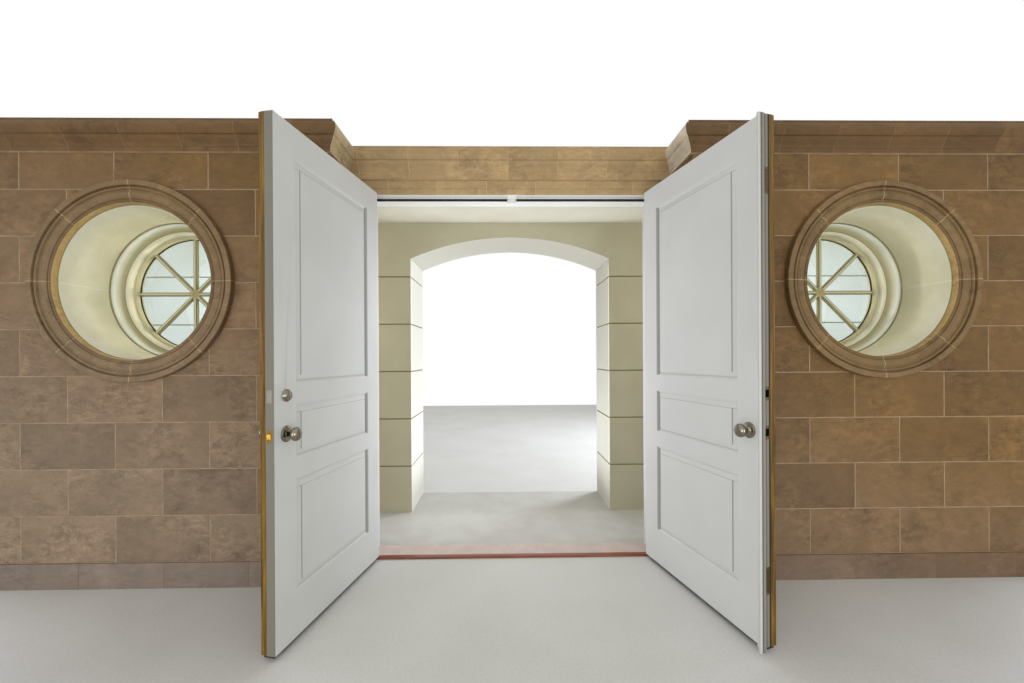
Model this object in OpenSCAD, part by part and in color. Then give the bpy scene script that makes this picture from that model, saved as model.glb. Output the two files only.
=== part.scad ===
// Entrance wall with a pair of panelled doors, two round windows and an arched porch.
// Millimetres. X runs along the wall, Y runs out through the doorway, Z is up.
// The origin is on the floor at the middle of the doorway, in the plane of the recess.

/* [Entrance wall] */
// Length of the wall from end to end
wall_length = 6780; // [6400:20:7600]
// Height of the walls, up to the ceiling line
wall_height = 2770; // [2700:5:3000]
// Depth of the door recess behind the room face
recess_depth = 320; // [260:10:360]
// Width of the door recess between its stone sides
recess_width = 2184; // [2120:4:2300]
// How far the wall carries on outside the plane of the recess
wall_outer_depth = 250; // [230:5:320]
// Thickness of the cut stone facing
facing_thick = 30; // [20:2:40]
// Height of the base course along the floor
base_height = 148; // [100:4:200]
// How far the base course stands out of the facing
base_projection = 15; // [8:1:24]

/* [Cornice] */
// Height of the underside of the cornice
cornice_bottom = 2585; // [2560:5:2620]
// How far the roll of the cornice stands out
cornice_projection = 65; // [55:1:90]

/* [Round windows] */
// Distance of each window centre from the middle of the doorway
window_offset = 2250; // [2150:10:2300]
// Height of the window centres
window_height = 1815; // [1700:5:1900]
// Radius of the clear round opening
window_radius = 457; // [450:1:470]
// Outer radius of the moulded stone ring
ring_radius = 595; // [590:1:640]
// Radius of the glass that shows
glass_radius = 388; // [360:1:390]

/* [Doors] */
// Width of each leaf
leaf_width = 960; // [880:2:980]
// Height of each leaf
leaf_height = 2438; // [2300:2:2440]
// Height of the underside of each leaf above the floor
leaf_bottom = 24; // [24:1:30]
// Thickness of the white outer slab of a leaf
slab_thick = 44; // [38:1:46]
// Thickness of the varnished lining on the room side
lining_thick = 16; // [12:1:18]
// How far the closed leaves lie behind the plane of the recess
frame_setback = 8; // [0:1:12]
// Angle at which the left leaf stands open
left_open_angle = 100.5; // [0:0.5:106.5]
// Angle at which the right leaf stands open
right_open_angle = 103.5; // [0:0.5:106.5]
// Height of the knobs above the underside of the leaf
knob_height = 982; // [860:2:1040]
// Distance of the knobs from the meeting edge
knob_backset = 78; // [68:1:94]

/* [Porch] */
// Clear depth of the porch between the two walls
porch_depth = 566; // [500:2:900]
// Thickness of the arched porch wall
arch_wall_thick = 525; // [300:5:600]
// Width of the archway
arch_width = 1730; // [1600:10:1800]
// Height at which the arch springs
arch_spring = 2216; // [2150:2:2230]
// Rise of the arch above its springing
arch_rise = 184; // [120:2:200]
// Height of the porch ceiling
porch_ceiling_height = 2528; // [2500:4:2560]
// Height of the porch floor
porch_floor_height = 12; // [8:1:14]

/* [Hidden] */
$fn = 96;
eps = 0.01;
clearance = 5;

stone_brown = "#8a7460";
stone_cream = "#c8c3a6";
stone_olive = "#9c9775";
paint_white = "#c6c7c5";
golden_wood = "#8a6420";
red_wood = "#6e2f12";
black_rubber = "#232322";
satin_nickel = "#b9b6ae";
warm_brass = "#b59a5a";
pale_glass = "#cfe0de";
porch_grey = "#a8a6a0";
ceiling_cream = "#cfcbb5";

half_length = wall_length / 2;
half_recess = recess_width / 2;
room_face = -recess_depth;
core_front = room_face + facing_thick;
core_side = half_recess + facing_thick;

// Door opening, worked out from the leaves
meeting_gap = 5;
hinge_gap = 4;
leaf_thick = slab_thick + lining_thick;
pin_setback = 9;
pin_x = leaf_width + hinge_gap + meeting_gap / 2;
leaf_top = leaf_bottom + leaf_height;
jamb_thick = 40;
jamb_depth = 174;
stop_step = 16;
head_stop_step = 28;
jamb_face = pin_x + 0.5;
jamb_back = jamb_face + jamb_thick;
stop_front = frame_setback + leaf_thick + 2 * clearance;
head_face = leaf_top + clearance;
head_back = head_face + jamb_thick;
seal_thick = clearance;
seal_width = 16;

// Panels of a leaf: distances from the hinge edge, heights above the underside
stile_width = 136;
panel_bottoms = [213, 847, 1208];
panel_tops = [758, 1118, 2294];
moulding_width = 22;
moulding_round = 15;
moulding_depth = 9;
field_bevel = 24;
field_rise = 6;
sweep_height = 6;

// Cover strip at the meeting edge of the right leaf
astragal_foot = 26;
astragal_lap = 20;
astragal_rise = 36;
astragal_flat = 9;
astragal_drop = 10;

// Door hardware
hinge_heights = [200, 880, 1560, 2240];
hinge_length = 102;
knuckle_radius = 8;
hinge_pin_radius = 4.5;
hinge_plate_thick = 2.5;
hinge_plate_reach = 47;
knob_radius = 32.5;
knob_neck_radius = 12;
knob_reach = 72;
rose_radius = 38;
spindle_bore_radius = 15;
cylinder_height = 1160;
latch_y = lining_thick + slab_thick / 2 - 2;
latch_thick = 13;
latch_tall = 22;
latch_throw = 11;
latch_reach = 12;
plate_width = 25;
plate_depth = 3;

// Archway
arch_inner = wall_outer_depth + porch_depth;
arch_outer = arch_inner + arch_wall_thick;
arch_half = arch_width / 2;
arch_radius = (arch_half * arch_half + arch_rise * arch_rise) / (2 * arch_rise);
arch_centre = arch_spring + arch_rise - arch_radius;

// Round tunnels
tunnel_lining_thick = 30;
tunnel_radius = window_radius + tunnel_lining_thick;
tunnel_end = 21;
window_frame_front = 26;
window_frame_back = 224;
glass_front = 186;
glass_back = 194;

// Box given by its two opposite corners
module block(low, high) {
    translate(low) cube(high - low);
}

// Puts a piece made for the left half on the right half
module right_hand() {
    mirror([1, 0, 0]) children();
}

// Carries a piece from the axis of a window, where depth is Z, into the wall
module at_left_window() {
    translate([-window_offset, 0, window_height]) rotate([-90, 0, 0]) children();
}

// Swings a piece drawn on a closed left leaf, with the hinge pin as its origin
module on_leaf(angle) {
    translate([-pin_x, frame_setback - pin_setback, 0]) rotate([0, 0, -angle]) children();
}

// Masonry beside the door, with its round tunnel
module wall_core() {
    difference() {
        union() {
            block([-half_length, core_front, 0], [-core_side, wall_outer_depth, wall_height]);
            block([-core_side - eps, facing_thick, 0], [-jamb_back, wall_outer_depth, wall_height]);
        }
        at_left_window() translate([0, 0, core_front - eps])
            cylinder(r = tunnel_radius, h = wall_outer_depth - core_front + 2 * eps);
    }
}

// Plan of the facing: room face, side of the recess and the strip beside the door
function facing_plan(out) = [
    [-half_length, room_face - out], [-half_recess + out, room_face - out],
    [-half_recess + out, -out], [-jamb_back, -out], [-jamb_back, facing_thick],
    [-core_side, facing_thick], [-core_side, core_front], [-half_length, core_front],
];

// Cut stone facing beside the door, with the hole for the window tunnel
module facing_side() {
    difference() {
        translate([0, 0, base_height]) linear_extrude(wall_height - base_height)
            polygon(facing_plan(0));
        at_left_window() translate([0, 0, room_face - 1])
            cylinder(r = tunnel_radius, h = facing_thick + 2);
    }
}

// Base course, a little proud of the facing
module base_side() {
    linear_extrude(base_height) polygon(facing_plan(base_projection));
}

// Outline of the cornice: lower fillet, S curve, quirk, broad roll and the neck under the ceiling
cornice_height = wall_height - cornice_bottom;
fillet_out = 12;
fillet_tall = 26;
curve_in = fillet_out + 5;
curve_out = cornice_projection - 26;
curve_high = cornice_height * 0.43;
quirk_high = curve_high + 6;
roll_in = cornice_projection - 15;
roll_high = cornice_height - 24;
neck_out = 32;
cornice_steps = 10;
function cornice_profile() = concat(
    [[0, 0], [fillet_out, 0], [fillet_out, fillet_tall]],
    [for (i = [0 : cornice_steps]) let (t = i / cornice_steps)
        [curve_in + (curve_out - curve_in) * (1 - cos(180 * t)) / 2,
         fillet_tall + 2 + (curve_high - fillet_tall - 2) * t]],
    [[curve_out, quirk_high]],
    [for (i = [0 : cornice_steps]) let (t = i / cornice_steps)
        [roll_in + (cornice_projection - roll_in) * sin(180 * t), quirk_high + 2 + (roll_high - quirk_high - 2) * t]],
    [[neck_out, roll_high + 10], [neck_out, cornice_height], [0, cornice_height]]
);

// Straight cornice along X that stands out towards -Y, from x0 to x1
module cornice_along_x(x0, x1) {
    translate([x0, 0, cornice_bottom]) rotate([90, 0, 90])
        linear_extrude(x1 - x0) mirror([1, 0, 0]) polygon(cornice_profile());
}

// Cornice of one side: the room face run and the return into the recess, mitred
module cornice_side() {
    reach = cornice_projection + 1;
    intersection() {
        translate([0, room_face, 0]) cornice_along_x(-half_length, -half_recess + reach);
        linear_extrude(wall_height) polygon([
            [-half_length, room_face], [-half_length, room_face - reach],
            [-half_recess + reach, room_face - reach], [-half_recess, room_face],
        ]);
    }
    intersection() {
        translate([-half_recess, 0, 0]) rotate([0, 0, 90]) cornice_along_x(room_face - reach, 0);
        linear_extrude(wall_height) polygon([
            [-half_recess, room_face], [-half_recess + reach, room_face - reach],
            [-half_recess + reach, -reach], [-half_recess, 0],
        ]);
    }
}

// Cornice across the back of the recess, mitred into the two returns, over a deeper fillet
recess_fillet_drop = 30;
module cornice_back() {
    reach = cornice_projection + 1;
    block([-half_recess, -fillet_out, cornice_bottom - recess_fillet_drop], [half_recess, 0, cornice_bottom]);
    intersection() {
        cornice_along_x(-half_recess, half_recess);
        linear_extrude(wall_height) polygon([
            [-half_recess, 0], [-half_recess + reach, -reach],
            [half_recess - reach, -reach], [half_recess, 0],
        ]);
    }
}

// Face of the moulded ring, from the opening out: lip, small bead, broad roll, bead and flat outer band.
// Each point is a distance from the axis and a height above the wall.
ring_band = 36;
ring_sleeve = 22;
lip_radius = window_radius + 7;
lip_out = 14;
roll_start = lip_radius + 25;
roll_end = ring_radius - 65;
bead_start = ring_radius - 55;
bead_end = ring_radius - 42;
band_start = ring_radius - 32;
ring_steps = 8;
function rounded_face(r0, r1, low0, low1, rise, steps) = [for (i = [0 : steps]) let (t = i / steps)
    [r0 + (r1 - r0) * t, low0 + (low1 - low0) * t + rise * sin(180 * t)]];
function ring_face() = concat(
    [[lip_radius, lip_out - 3], [lip_radius + 2, lip_out], [lip_radius + 6, lip_out],
     [lip_radius + 8, lip_out - 3], [lip_radius + 10, lip_out - 3]],
    rounded_face(lip_radius + 11, roll_start - 5, lip_out - 2, lip_out - 1, 5, 4),
    [[roll_start - 4, lip_out - 3], [roll_start - 1, lip_out - 3]],
    rounded_face(roll_start, roll_end, 17, 22, 7, ring_steps),
    [[roll_end + 2, 19], [bead_start - 2, 19]],
    rounded_face(bead_start, bead_end, 25, 28, 5, 4),
    [[bead_end + 2, 18], [band_start - 2, 18]],
    [[band_start, ring_band - 2], [band_start + 2, ring_band], [ring_radius - 3, ring_band],
     [ring_radius, ring_band - 3]]
);

// Ring section: the face, and behind it a sleeve that lines the start of the tunnel
function ring_profile() = concat(
    ring_face(), [[ring_radius, 0], [tunnel_radius, 0], [tunnel_radius, -ring_sleeve], [lip_radius, -ring_sleeve]]
);

// Blade of the face shape that cuts a joint of even depth
joint_depth = 3;
function joint_blade() = concat(
    [for (p = ring_face()) [p[0], p[1] - joint_depth]],
    [[ring_radius + 1, ring_band - 6], [ring_radius + 1, ring_band + 9], [lip_radius - 1, ring_band + 9],
     [lip_radius - 1, lip_out - 6]]
);

// Eight moulded stones in a ring, parted by narrow joints
module window_ring() {
    joint_width = 3;
    at_left_window() translate([0, 0, room_face]) mirror([0, 0, 1]) difference() {
        rotate_extrude($fn = 144) polygon(ring_profile());
        for (turn = [0 : 45 : 315]) rotate([90, 0, turn])
            translate([0, 0, -joint_width / 2]) linear_extrude(joint_width) polygon(joint_blade());
    }
}

// Smooth limestone lining of the round tunnel
module tunnel_lining() {
    lining_start = room_face + ring_sleeve;
    at_left_window() translate([0, 0, lining_start]) difference() {
        cylinder(r = tunnel_radius, h = tunnel_end - lining_start);
        translate([0, 0, -1]) cylinder(r = window_radius, h = tunnel_end - lining_start + 2);
    }
}

// Section of the round window frame: splay, cove, bead, sash and the rebate for the glass
frame_radius = window_radius - 2;
cove_start = glass_radius + 58;
cove_front = window_frame_front + 44;
cove_round = 28;
bead_round = 12;
bead_start_depth = cove_front + cove_round + 2;
frame_edge = glass_radius + 18;
sash_front = glass_front - 37;
sash_back = 208;
frame_steps = 6;
rebate_radius = glass_radius + 5;
function window_frame_profile() = concat(
    [[tunnel_radius, window_frame_front], [frame_radius, window_frame_front]],
    [for (i = [0 : frame_steps]) let (a = 90 * i / frame_steps)
        [cove_start - cove_round * (1 - cos(a)), cove_front + cove_round * sin(a)]],
    [for (i = [0 : frame_steps]) let (a = 90 * i / frame_steps)
        [frame_edge + bead_round * (1 - sin(a)), bead_start_depth + bead_round * (1 - cos(a))]],
    [[frame_edge, sash_front - 3], [frame_edge + 4, sash_front - 3], [frame_edge + 4, sash_front],
     [glass_radius + 11, sash_front]],
    [for (i = [1 : frame_steps]) let (a = 90 * i / frame_steps)
        [glass_radius + 11 * (1 - sin(a)), sash_front + 20 * (1 - cos(a))]],
    [[glass_radius, glass_front], [rebate_radius, glass_front], [rebate_radius, glass_back],
     [glass_radius, glass_back], [glass_radius, sash_back], [glass_radius + 20, sash_back],
     [window_radius - 20, window_frame_back], [tunnel_radius, window_frame_back]]
);

module window_frame() {
    at_left_window() rotate_extrude($fn = 144) polygon(window_frame_profile());
}

module window_glass() {
    at_left_window() translate([0, 0, glass_front])
        cylinder(r = rebate_radius - 0.5, h = glass_back - glass_front);
}

// Jamb beside a leaf: the rebate that the leaf shuts into, and the stop behind it
module door_jamb() {
    difference() {
        translate([0, 0, nosing_top]) linear_extrude(head_face - nosing_top) polygon([
            [-jamb_back, frame_setback], [-jamb_face, frame_setback], [-jamb_face, stop_front],
            [-jamb_face + stop_step, stop_front], [-jamb_face + stop_step, jamb_depth], [-jamb_back, jamb_depth],
        ]);
        for (height = hinge_heights) translate([0, frame_setback, leaf_bottom + height])
            block([-jamb_face - hinge_plate_thick, -1, -hinge_length / 2],
                  [-jamb_face + 1, hinge_plate_reach - pin_setback, hinge_length / 2]);
    }
}

// Space for the top of the cover strip, where the shut right leaf carries it
module head_notch() {
    back = frame_setback + leaf_thick;
    block([-meeting_gap - astragal_lap, back + 1, head_face - head_stop_step - 1],
          [astragal_foot + 2 * meeting_gap, back + astragal_rise + clearance, head_face]);
}

// Head of the door frame, set behind the facing stone over the doors, with its stop
module head_piece() {
    stop_end = jamb_face - stop_step;
    difference() {
        union() {
            block([-jamb_back, facing_thick, head_face], [jamb_back, jamb_depth, head_back]);
            block([-stop_end, stop_front, head_face - head_stop_step], [stop_end, jamb_depth, head_face + 1]);
        }
        head_notch();
    }
}

// Black seal on the face of the stops
module stop_seal() {
    seal_foot = head_face - head_stop_step + 1;
    seal_front = stop_front - seal_thick;
    for (side = [-1, 1]) scale([side, 1, 1])
        block([-jamb_face, seal_front, leaf_bottom], [-jamb_face + seal_width - 2, stop_front, seal_foot]);
    difference() {
        block([-jamb_face, seal_front, seal_foot], [jamb_face, stop_front, seal_foot + seal_width]);
        head_notch();
    }
}

// Hardwood nosing under the room edge of the closed leaves
nosing_front = -12;
nosing_back = 22;
nosing_top = 13;
nosing_round = 5;
module threshold_strip() {
    translate([-jamb_face, 0, 0]) rotate([90, 0, 90]) linear_extrude(2 * jamb_face) polygon(concat(
        [[nosing_front, 0]],
        [for (a = [0 : 15 : 90])
            [nosing_front + nosing_round * (1 - cos(a)), nosing_top - nosing_round + nosing_round * sin(a)]],
        [[nosing_back, nosing_top], [nosing_back, 0]]
    ));
}

// Stone sill that the jambs stand on, out to the porch floor
module sill_stone() {
    linear_extrude(nosing_top) polygon([
        [-jamb_back, frame_setback], [-jamb_face, frame_setback], [-jamb_face, nosing_back],
        [jamb_face, nosing_back], [jamb_face, frame_setback], [jamb_back, frame_setback],
        [jamb_back, jamb_depth], [-jamb_back, jamb_depth],
    ]);
}

// Floor of the porch, of the archway and of the outer part of the doorway
module porch_slab() {
    linear_extrude(porch_floor_height) polygon([
        [-half_length, wall_outer_depth], [-jamb_back, wall_outer_depth], [-jamb_back, jamb_depth],
        [jamb_back, jamb_depth], [jamb_back, wall_outer_depth], [half_length, wall_outer_depth],
        [half_length, arch_inner], [arch_half, arch_inner], [arch_half, arch_outer],
        [-arch_half, arch_outer], [-arch_half, arch_inner], [-half_length, arch_inner],
    ]);
}

module porch_wall_side() {
    block([-half_length, arch_inner, 0], [-arch_half, arch_outer, wall_height]);
}

// Flat segmental arch over the archway, with a narrow seat at each springing
arch_seat = 3;
module arch_piece() {
    difference() {
        block([-arch_half, arch_inner, arch_spring + arch_seat], [arch_half, arch_outer, wall_height]);
        translate([0, arch_inner - 1, arch_centre]) rotate([-90, 0, 0])
            cylinder(r = arch_radius, h = arch_wall_thick + 2, $fn = 360);
    }
}

// Frame side of the hinges: pin, two outer knuckles and the plate let into the jamb
knuckle_length = hinge_length / 3;
knuckle_gap = 0.5;
module fixed_hinges() {
    for (height = hinge_heights)
        translate([-pin_x, frame_setback - pin_setback, leaf_bottom + height - hinge_length / 2]) {
            cylinder(r = hinge_pin_radius, h = hinge_length, $fn = 48);
            for (low = [0, 2 * knuckle_length]) translate([0, 0, low]) {
                cylinder(r = knuckle_radius, h = knuckle_length, $fn = 48);
                block([-0.5 - hinge_plate_thick, 0, 0], [-0.5, pin_setback + 1, knuckle_length]);
            }
            block([-0.5 - hinge_plate_thick, pin_setback + 0.5, 0], [-0.5, hinge_plate_reach, hinge_length]);
        }
}

// Door side of the hinges: the middle knuckle and the plate let into the leaf
module moving_hinges() {
    middle = knuckle_length - 2 * knuckle_gap;
    for (height = hinge_heights) translate([0, 0, leaf_bottom + height - hinge_length / 2]) {
        translate([0, 0, knuckle_length + knuckle_gap]) difference() {
            union() {
                cylinder(r = knuckle_radius, h = middle, $fn = 48);
                block([hinge_gap, 0, 0], [hinge_gap + hinge_plate_thick, pin_setback + 1, middle]);
            }
            translate([0, 0, -1]) cylinder(r = hinge_pin_radius + 0.1, h = middle + 2, $fn = 48);
        }
        block([hinge_gap, pin_setback + 0.5, 0], [hinge_gap + hinge_plate_thick, hinge_plate_reach, hinge_length]);
    }
}

// Space cut in a leaf for its hinge plates
module hinge_plate_pockets() {
    for (height = hinge_heights) translate([0, 0, leaf_bottom + height])
        block([hinge_gap - 1, pin_setback - 1, -hinge_length / 2],
              [hinge_gap + hinge_plate_thick, hinge_plate_reach, hinge_length / 2]);
}

// Raised field of a panel: two crossed prisms with sloping edges
module raised_field(width, height) {
    intersection() {
        linear_extrude(height) polygon([
            [0, 0], [width, 0], [width - field_bevel, -field_rise], [field_bevel, -field_rise],
        ]);
        rotate([90, 0, 90]) linear_extrude(width) polygon([
            [0, 0], [0, height], [-field_rise, height - field_bevel], [-field_rise, field_bevel],
        ]);
    }
}

// Hollow of a panel: two crossed prisms whose edges are rounded over into the leaf
moulding_steps = 4;
function rounded_edge(from, turn) = [for (i = [0 : moulding_steps]) let (a = 90 * i / moulding_steps)
    [from + turn * moulding_round * sin(a), moulding_depth * (1 - cos(a))]];
function hollow_outline(width) = concat(
    rounded_edge(0, 1), [for (i = [moulding_steps : -1 : 0]) rounded_edge(width, -1)[i]]
);
module panel_hollow(width, height) {
    intersection() {
        linear_extrude(height) polygon(hollow_outline(width));
        rotate([90, 0, 90]) linear_extrude(width) polygon([for (p = hollow_outline(height)) [p[1], p[0]]]);
    }
}

// One face of a leaf, seen from outside at y = 0: sunk panels with raised fields
module panel_sinkings() {
    inner_left = hinge_gap + stile_width;
    inner_right = hinge_gap + leaf_width - stile_width;
    for (i = [0 : 2]) {
        low = leaf_bottom + panel_bottoms[i];
        high = leaf_bottom + panel_tops[i];
        difference() {
            translate([inner_left, 0, low]) panel_hollow(inner_right - inner_left, high - low);
            translate([inner_left + moulding_width, moulding_depth, low + moulding_width])
                raised_field(inner_right - inner_left - 2 * moulding_width, high - low - 2 * moulding_width);
        }
    }
}

// Turns a face drawn at y = 0 to look the other way from the plane y = depth
module facing_out(depth) {
    translate([0, depth, 0]) mirror([0, 1, 0]) children();
}

// Leaf positions, measured from the hinge pin
leaf_in = hinge_gap;
leaf_out = hinge_gap + leaf_width;
lining_y = pin_setback;
slab_y = pin_setback + lining_thick;
leaf_back_y = pin_setback + leaf_thick;
knob_x = leaf_out - knob_backset;
knob_z = leaf_bottom + knob_height;
bolt_z = leaf_bottom + cylinder_height;
latch_axis_y = pin_setback + latch_y;

module slab_blank() {
    difference() {
        block([leaf_in, slab_y, leaf_bottom], [leaf_out, leaf_back_y, leaf_top]);
        facing_out(leaf_back_y) translate([0, -eps, 0]) panel_sinkings();
        hinge_plate_pockets();
    }
}

module lining_blank() {
    difference() {
        block([leaf_in, lining_y, leaf_bottom], [leaf_out, slab_y, leaf_top]);
        translate([0, lining_y - eps, 0]) panel_sinkings();
        hinge_plate_pockets();
    }
}

module sweep_strip() {
    block([leaf_in, lining_y + 4, leaf_bottom - sweep_height], [leaf_out, leaf_back_y - 2, leaf_bottom]);
}

// Round holes through a leaf for the knob spindle and the lock cylinder
module lock_bores() {
    for (z = [knob_z, bolt_z]) translate([knob_x, 0, z]) rotate([-90, 0, 0])
        cylinder(r = spindle_bore_radius, h = 100, $fn = 48);
}

// Shallow seat in the meeting edge for a metal plate
module edge_plate(z, tall, wide) {
    block([leaf_out - plate_depth, latch_axis_y - wide / 2, z - tall / 2],
          [leaf_out, latch_axis_y + wide / 2, z + tall / 2]);
}

latch_plate_tall = 58;
latch_slide_gap = 1;
latch_inner = leaf_out - 38;

// Passage in the left leaf for the latch bolt
module latch_passage() {
    block([latch_inner - latch_throw - 2, latch_axis_y - latch_thick / 2 - latch_slide_gap,
           knob_z - latch_tall / 2 - latch_slide_gap],
          [leaf_out + 1, latch_axis_y + latch_thick / 2 + latch_slide_gap,
           knob_z + latch_tall / 2 + latch_slide_gap]);
}

module left_slab_body() {
    difference() {
        slab_blank();
        lock_bores();
        latch_passage();
        edge_plate(knob_z, latch_plate_tall, plate_width);
        edge_plate(bolt_z, latch_plate_tall, plate_width);
    }
}

module left_lining_body() {
    difference() {
        lining_blank();
        lock_bores();
    }
}

module left_edge_plates_body() {
    difference() {
        edge_plate(knob_z, latch_plate_tall, plate_width);
        latch_passage();
    }
    edge_plate(bolt_z, latch_plate_tall, plate_width);
}

// Latch bolt with its sloping nose
module latch_bolt_body() {
    translate([0, 0, knob_z - latch_tall / 2]) linear_extrude(latch_tall) polygon([
        [latch_inner, latch_axis_y - latch_thick / 2], [leaf_out + latch_reach, latch_axis_y - latch_thick / 2],
        [leaf_out + latch_reach, latch_axis_y - latch_thick / 2 + 2],
        [leaf_out + 1, latch_axis_y + latch_thick / 2], [latch_inner, latch_axis_y + latch_thick / 2],
    ]);
}

// Section of a knob along its axis: flange, waist and a flattened ball
knob_ball_half = 22;
knob_steps = 12;
function knob_profile(reach) = concat(
    [[0, 0], [knob_neck_radius, 0], [knob_neck_radius, reach - 2 * knob_ball_half + 4]],
    [for (i = [1 : knob_steps]) let (a = -60 + 150 * i / knob_steps)
        [max(knob_radius * cos(a), 0), reach - knob_ball_half + knob_ball_half * sin(a)]]
);

// Knob that stands out of the face of a leaf along -Z
module knob_turned(reach) {
    rotate_extrude($fn = 64) polygon(knob_profile(reach));
}

// Both knobs of the left leaf and the spindle that joins them
module left_knobs_body() {
    translate([knob_x, leaf_back_y, knob_z]) rotate([-90, 0, 0]) knob_turned(knob_reach);
    translate([knob_x, lining_y, knob_z]) rotate([90, 0, 0]) knob_turned(knob_reach);
    translate([knob_x, lining_y - eps, knob_z]) rotate([-90, 0, 0])
        cylinder(r = knob_neck_radius, h = leaf_thick + 2 * eps, $fn = 64);
}

rose_thick = 7;
module rose(hole) {
    difference() {
        union() {
            cylinder(r = rose_radius, h = 3, $fn = 64);
            translate([0, 0, 3]) cylinder(r1 = rose_radius - 1, r2 = rose_radius - 9, h = rose_thick - 3, $fn = 64);
        }
        if (hole > 0) translate([0, 0, -1]) cylinder(r = hole, h = rose_thick + 2, $fn = 48);
    }
}

// Key cylinder outside, turn piece inside, with their roses
cylinder_radius = 29;
module key_cylinder(reach) {
    cylinder(r = cylinder_radius, h = 5, $fn = 64);
    cylinder(r1 = cylinder_radius - 3, r2 = cylinder_radius - 8, h = reach, $fn = 64);
}

module left_roses_body() {
    translate([knob_x, leaf_back_y, knob_z]) rotate([-90, 0, 0]) rose(spindle_bore_radius);
    translate([knob_x, lining_y, knob_z]) rotate([90, 0, 0]) rose(spindle_bore_radius);
    translate([knob_x, leaf_back_y, bolt_z]) rotate([-90, 0, 0]) key_cylinder(16);
    translate([knob_x, lining_y, bolt_z]) rotate([90, 0, 0]) {
        key_cylinder(12);
        translate([-4, -16, 10]) cube([8, 32, 14]);
    }
}

// Pocket in the right leaf that takes the nose of the latch
strike_gap = 6;
module strike_pocket(z, deep) {
    block([leaf_out - deep, latch_axis_y - latch_thick / 2 - strike_gap, z - latch_tall / 2 - strike_gap],
          [leaf_out + 1, latch_axis_y + latch_thick / 2 + strike_gap, z + latch_tall / 2 + strike_gap]);
}

strike_tall = 62;
strike_wide = 34;
flush_bolt_low = 305;
flush_bolt_tall = 124;

module right_slab_body() {
    difference() {
        slab_blank();
        strike_pocket(knob_z, 16);
        strike_pocket(bolt_z, 26);
        for (z = [knob_z, bolt_z]) edge_plate(z, strike_tall, strike_wide);
        for (z = [leaf_bottom + flush_bolt_low, leaf_top - flush_bolt_low])
            edge_plate(z, flush_bolt_tall, plate_width);
    }
}

module right_strikes_body() {
    difference() {
        for (z = [knob_z, bolt_z]) edge_plate(z, strike_tall, strike_wide);
        strike_pocket(knob_z, 16);
        strike_pocket(bolt_z, 26);
    }
}

module right_flush_bolts_body() {
    for (z = [leaf_bottom + flush_bolt_low, leaf_top - flush_bolt_low])
        edge_plate(z, flush_bolt_tall, plate_width);
}

// Fixed knobs of the right leaf, with their roses
module right_knobs_body() {
    translate([knob_x, leaf_back_y, knob_z]) rotate([-90, 0, 0]) {
        rose(0);
        knob_turned(knob_reach);
    }
    translate([knob_x, lining_y, knob_z]) rotate([90, 0, 0]) {
        rose(0);
        knob_turned(knob_reach);
    }
}

// Moulded cover strip on the outside of the right leaf, lapping over the left one
rib_depth = 2;
rib_pitch = 6;
module astragal_body() {
    foot = leaf_bottom - sweep_height;
    shoulder = astragal_lap - astragal_flat;
    translate([leaf_out, leaf_back_y, foot]) linear_extrude(leaf_top - astragal_drop - foot) difference() {
        polygon([
            [-astragal_foot, 0], [0, 0], [0, clearance], [astragal_lap, clearance],
            [astragal_lap, astragal_rise - 2], [astragal_lap - 2, astragal_rise],
            [shoulder, astragal_rise], [shoulder - 4, astragal_rise - 3],
            [shoulder - 4, astragal_rise - 8], [-astragal_foot + 6, 10], [-astragal_foot, 8],
        ]);
        for (step = [1 : 4]) translate([astragal_lap, clearance + step * rib_pitch - 1])
            circle(r = rib_depth, $fn = 24);
    }
}

module wall_left() { color(stone_brown) wall_core(); }
module wall_right() { color(stone_brown) right_hand() wall_core(); }
module wall_over_door() {
    color(stone_brown) difference() {
        block([-jamb_back, facing_thick, head_face], [jamb_back, wall_outer_depth, wall_height]);
        block([-jamb_back - 1, facing_thick - 1, head_face - 1], [jamb_back + 1, jamb_depth, head_back]);
    }
}
module stone_facing_left() { color(stone_brown) facing_side(); }
module stone_facing_right() { color(stone_brown) right_hand() facing_side(); }
module stone_over_door() {
    color(stone_brown) block([-jamb_back, 0, head_face], [jamb_back, facing_thick, wall_height]);
}
module base_course_left() { color(stone_brown) base_side(); }
module base_course_right() { color(stone_brown) right_hand() base_side(); }
module cornice_left() { color(stone_brown) cornice_side(); }
module cornice_right() { color(stone_brown) right_hand() cornice_side(); }
module cornice_recess() { color(stone_brown) cornice_back(); }
module ring_left() { color(stone_brown) window_ring(); }
module ring_right() { color(stone_brown) right_hand() window_ring(); }
module tunnel_lining_left() { color(stone_cream) tunnel_lining(); }
module tunnel_lining_right() { color(stone_cream) right_hand() tunnel_lining(); }
module window_frame_left() { color(paint_white) window_frame(); }
module window_frame_right() { color(paint_white) right_hand() window_frame(); }
module window_glass_left() { color(pale_glass) window_glass(); }
module window_glass_right() { color(pale_glass) right_hand() window_glass(); }
module door_jamb_left() { color(paint_white) door_jamb(); }
module door_jamb_right() { color(paint_white) right_hand() door_jamb(); }
module door_head() { color(paint_white) head_piece(); }
module weatherstrip() { color(black_rubber) stop_seal(); }
module threshold() { color(red_wood) threshold_strip(); }
module door_sill() { color(stone_cream) sill_stone(); }
module porch_floor() { color(porch_grey) porch_slab(); }
module porch_ceiling() {
    color(ceiling_cream) block([-half_length, wall_outer_depth, porch_ceiling_height],
                               [half_length, arch_inner, wall_height]);
}
module porch_wall_left() { color(stone_olive) porch_wall_side(); }
module porch_wall_right() { color(stone_olive) right_hand() porch_wall_side(); }
module porch_arch() { color(stone_olive) arch_piece(); }
module hinge_pins() {
    color(satin_nickel) {
        fixed_hinges();
        right_hand() fixed_hinges();
    }
}
module left_door_slab() { color(paint_white) on_leaf(left_open_angle) left_slab_body(); }
module left_door_lining() { color(golden_wood) on_leaf(left_open_angle) left_lining_body(); }
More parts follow.
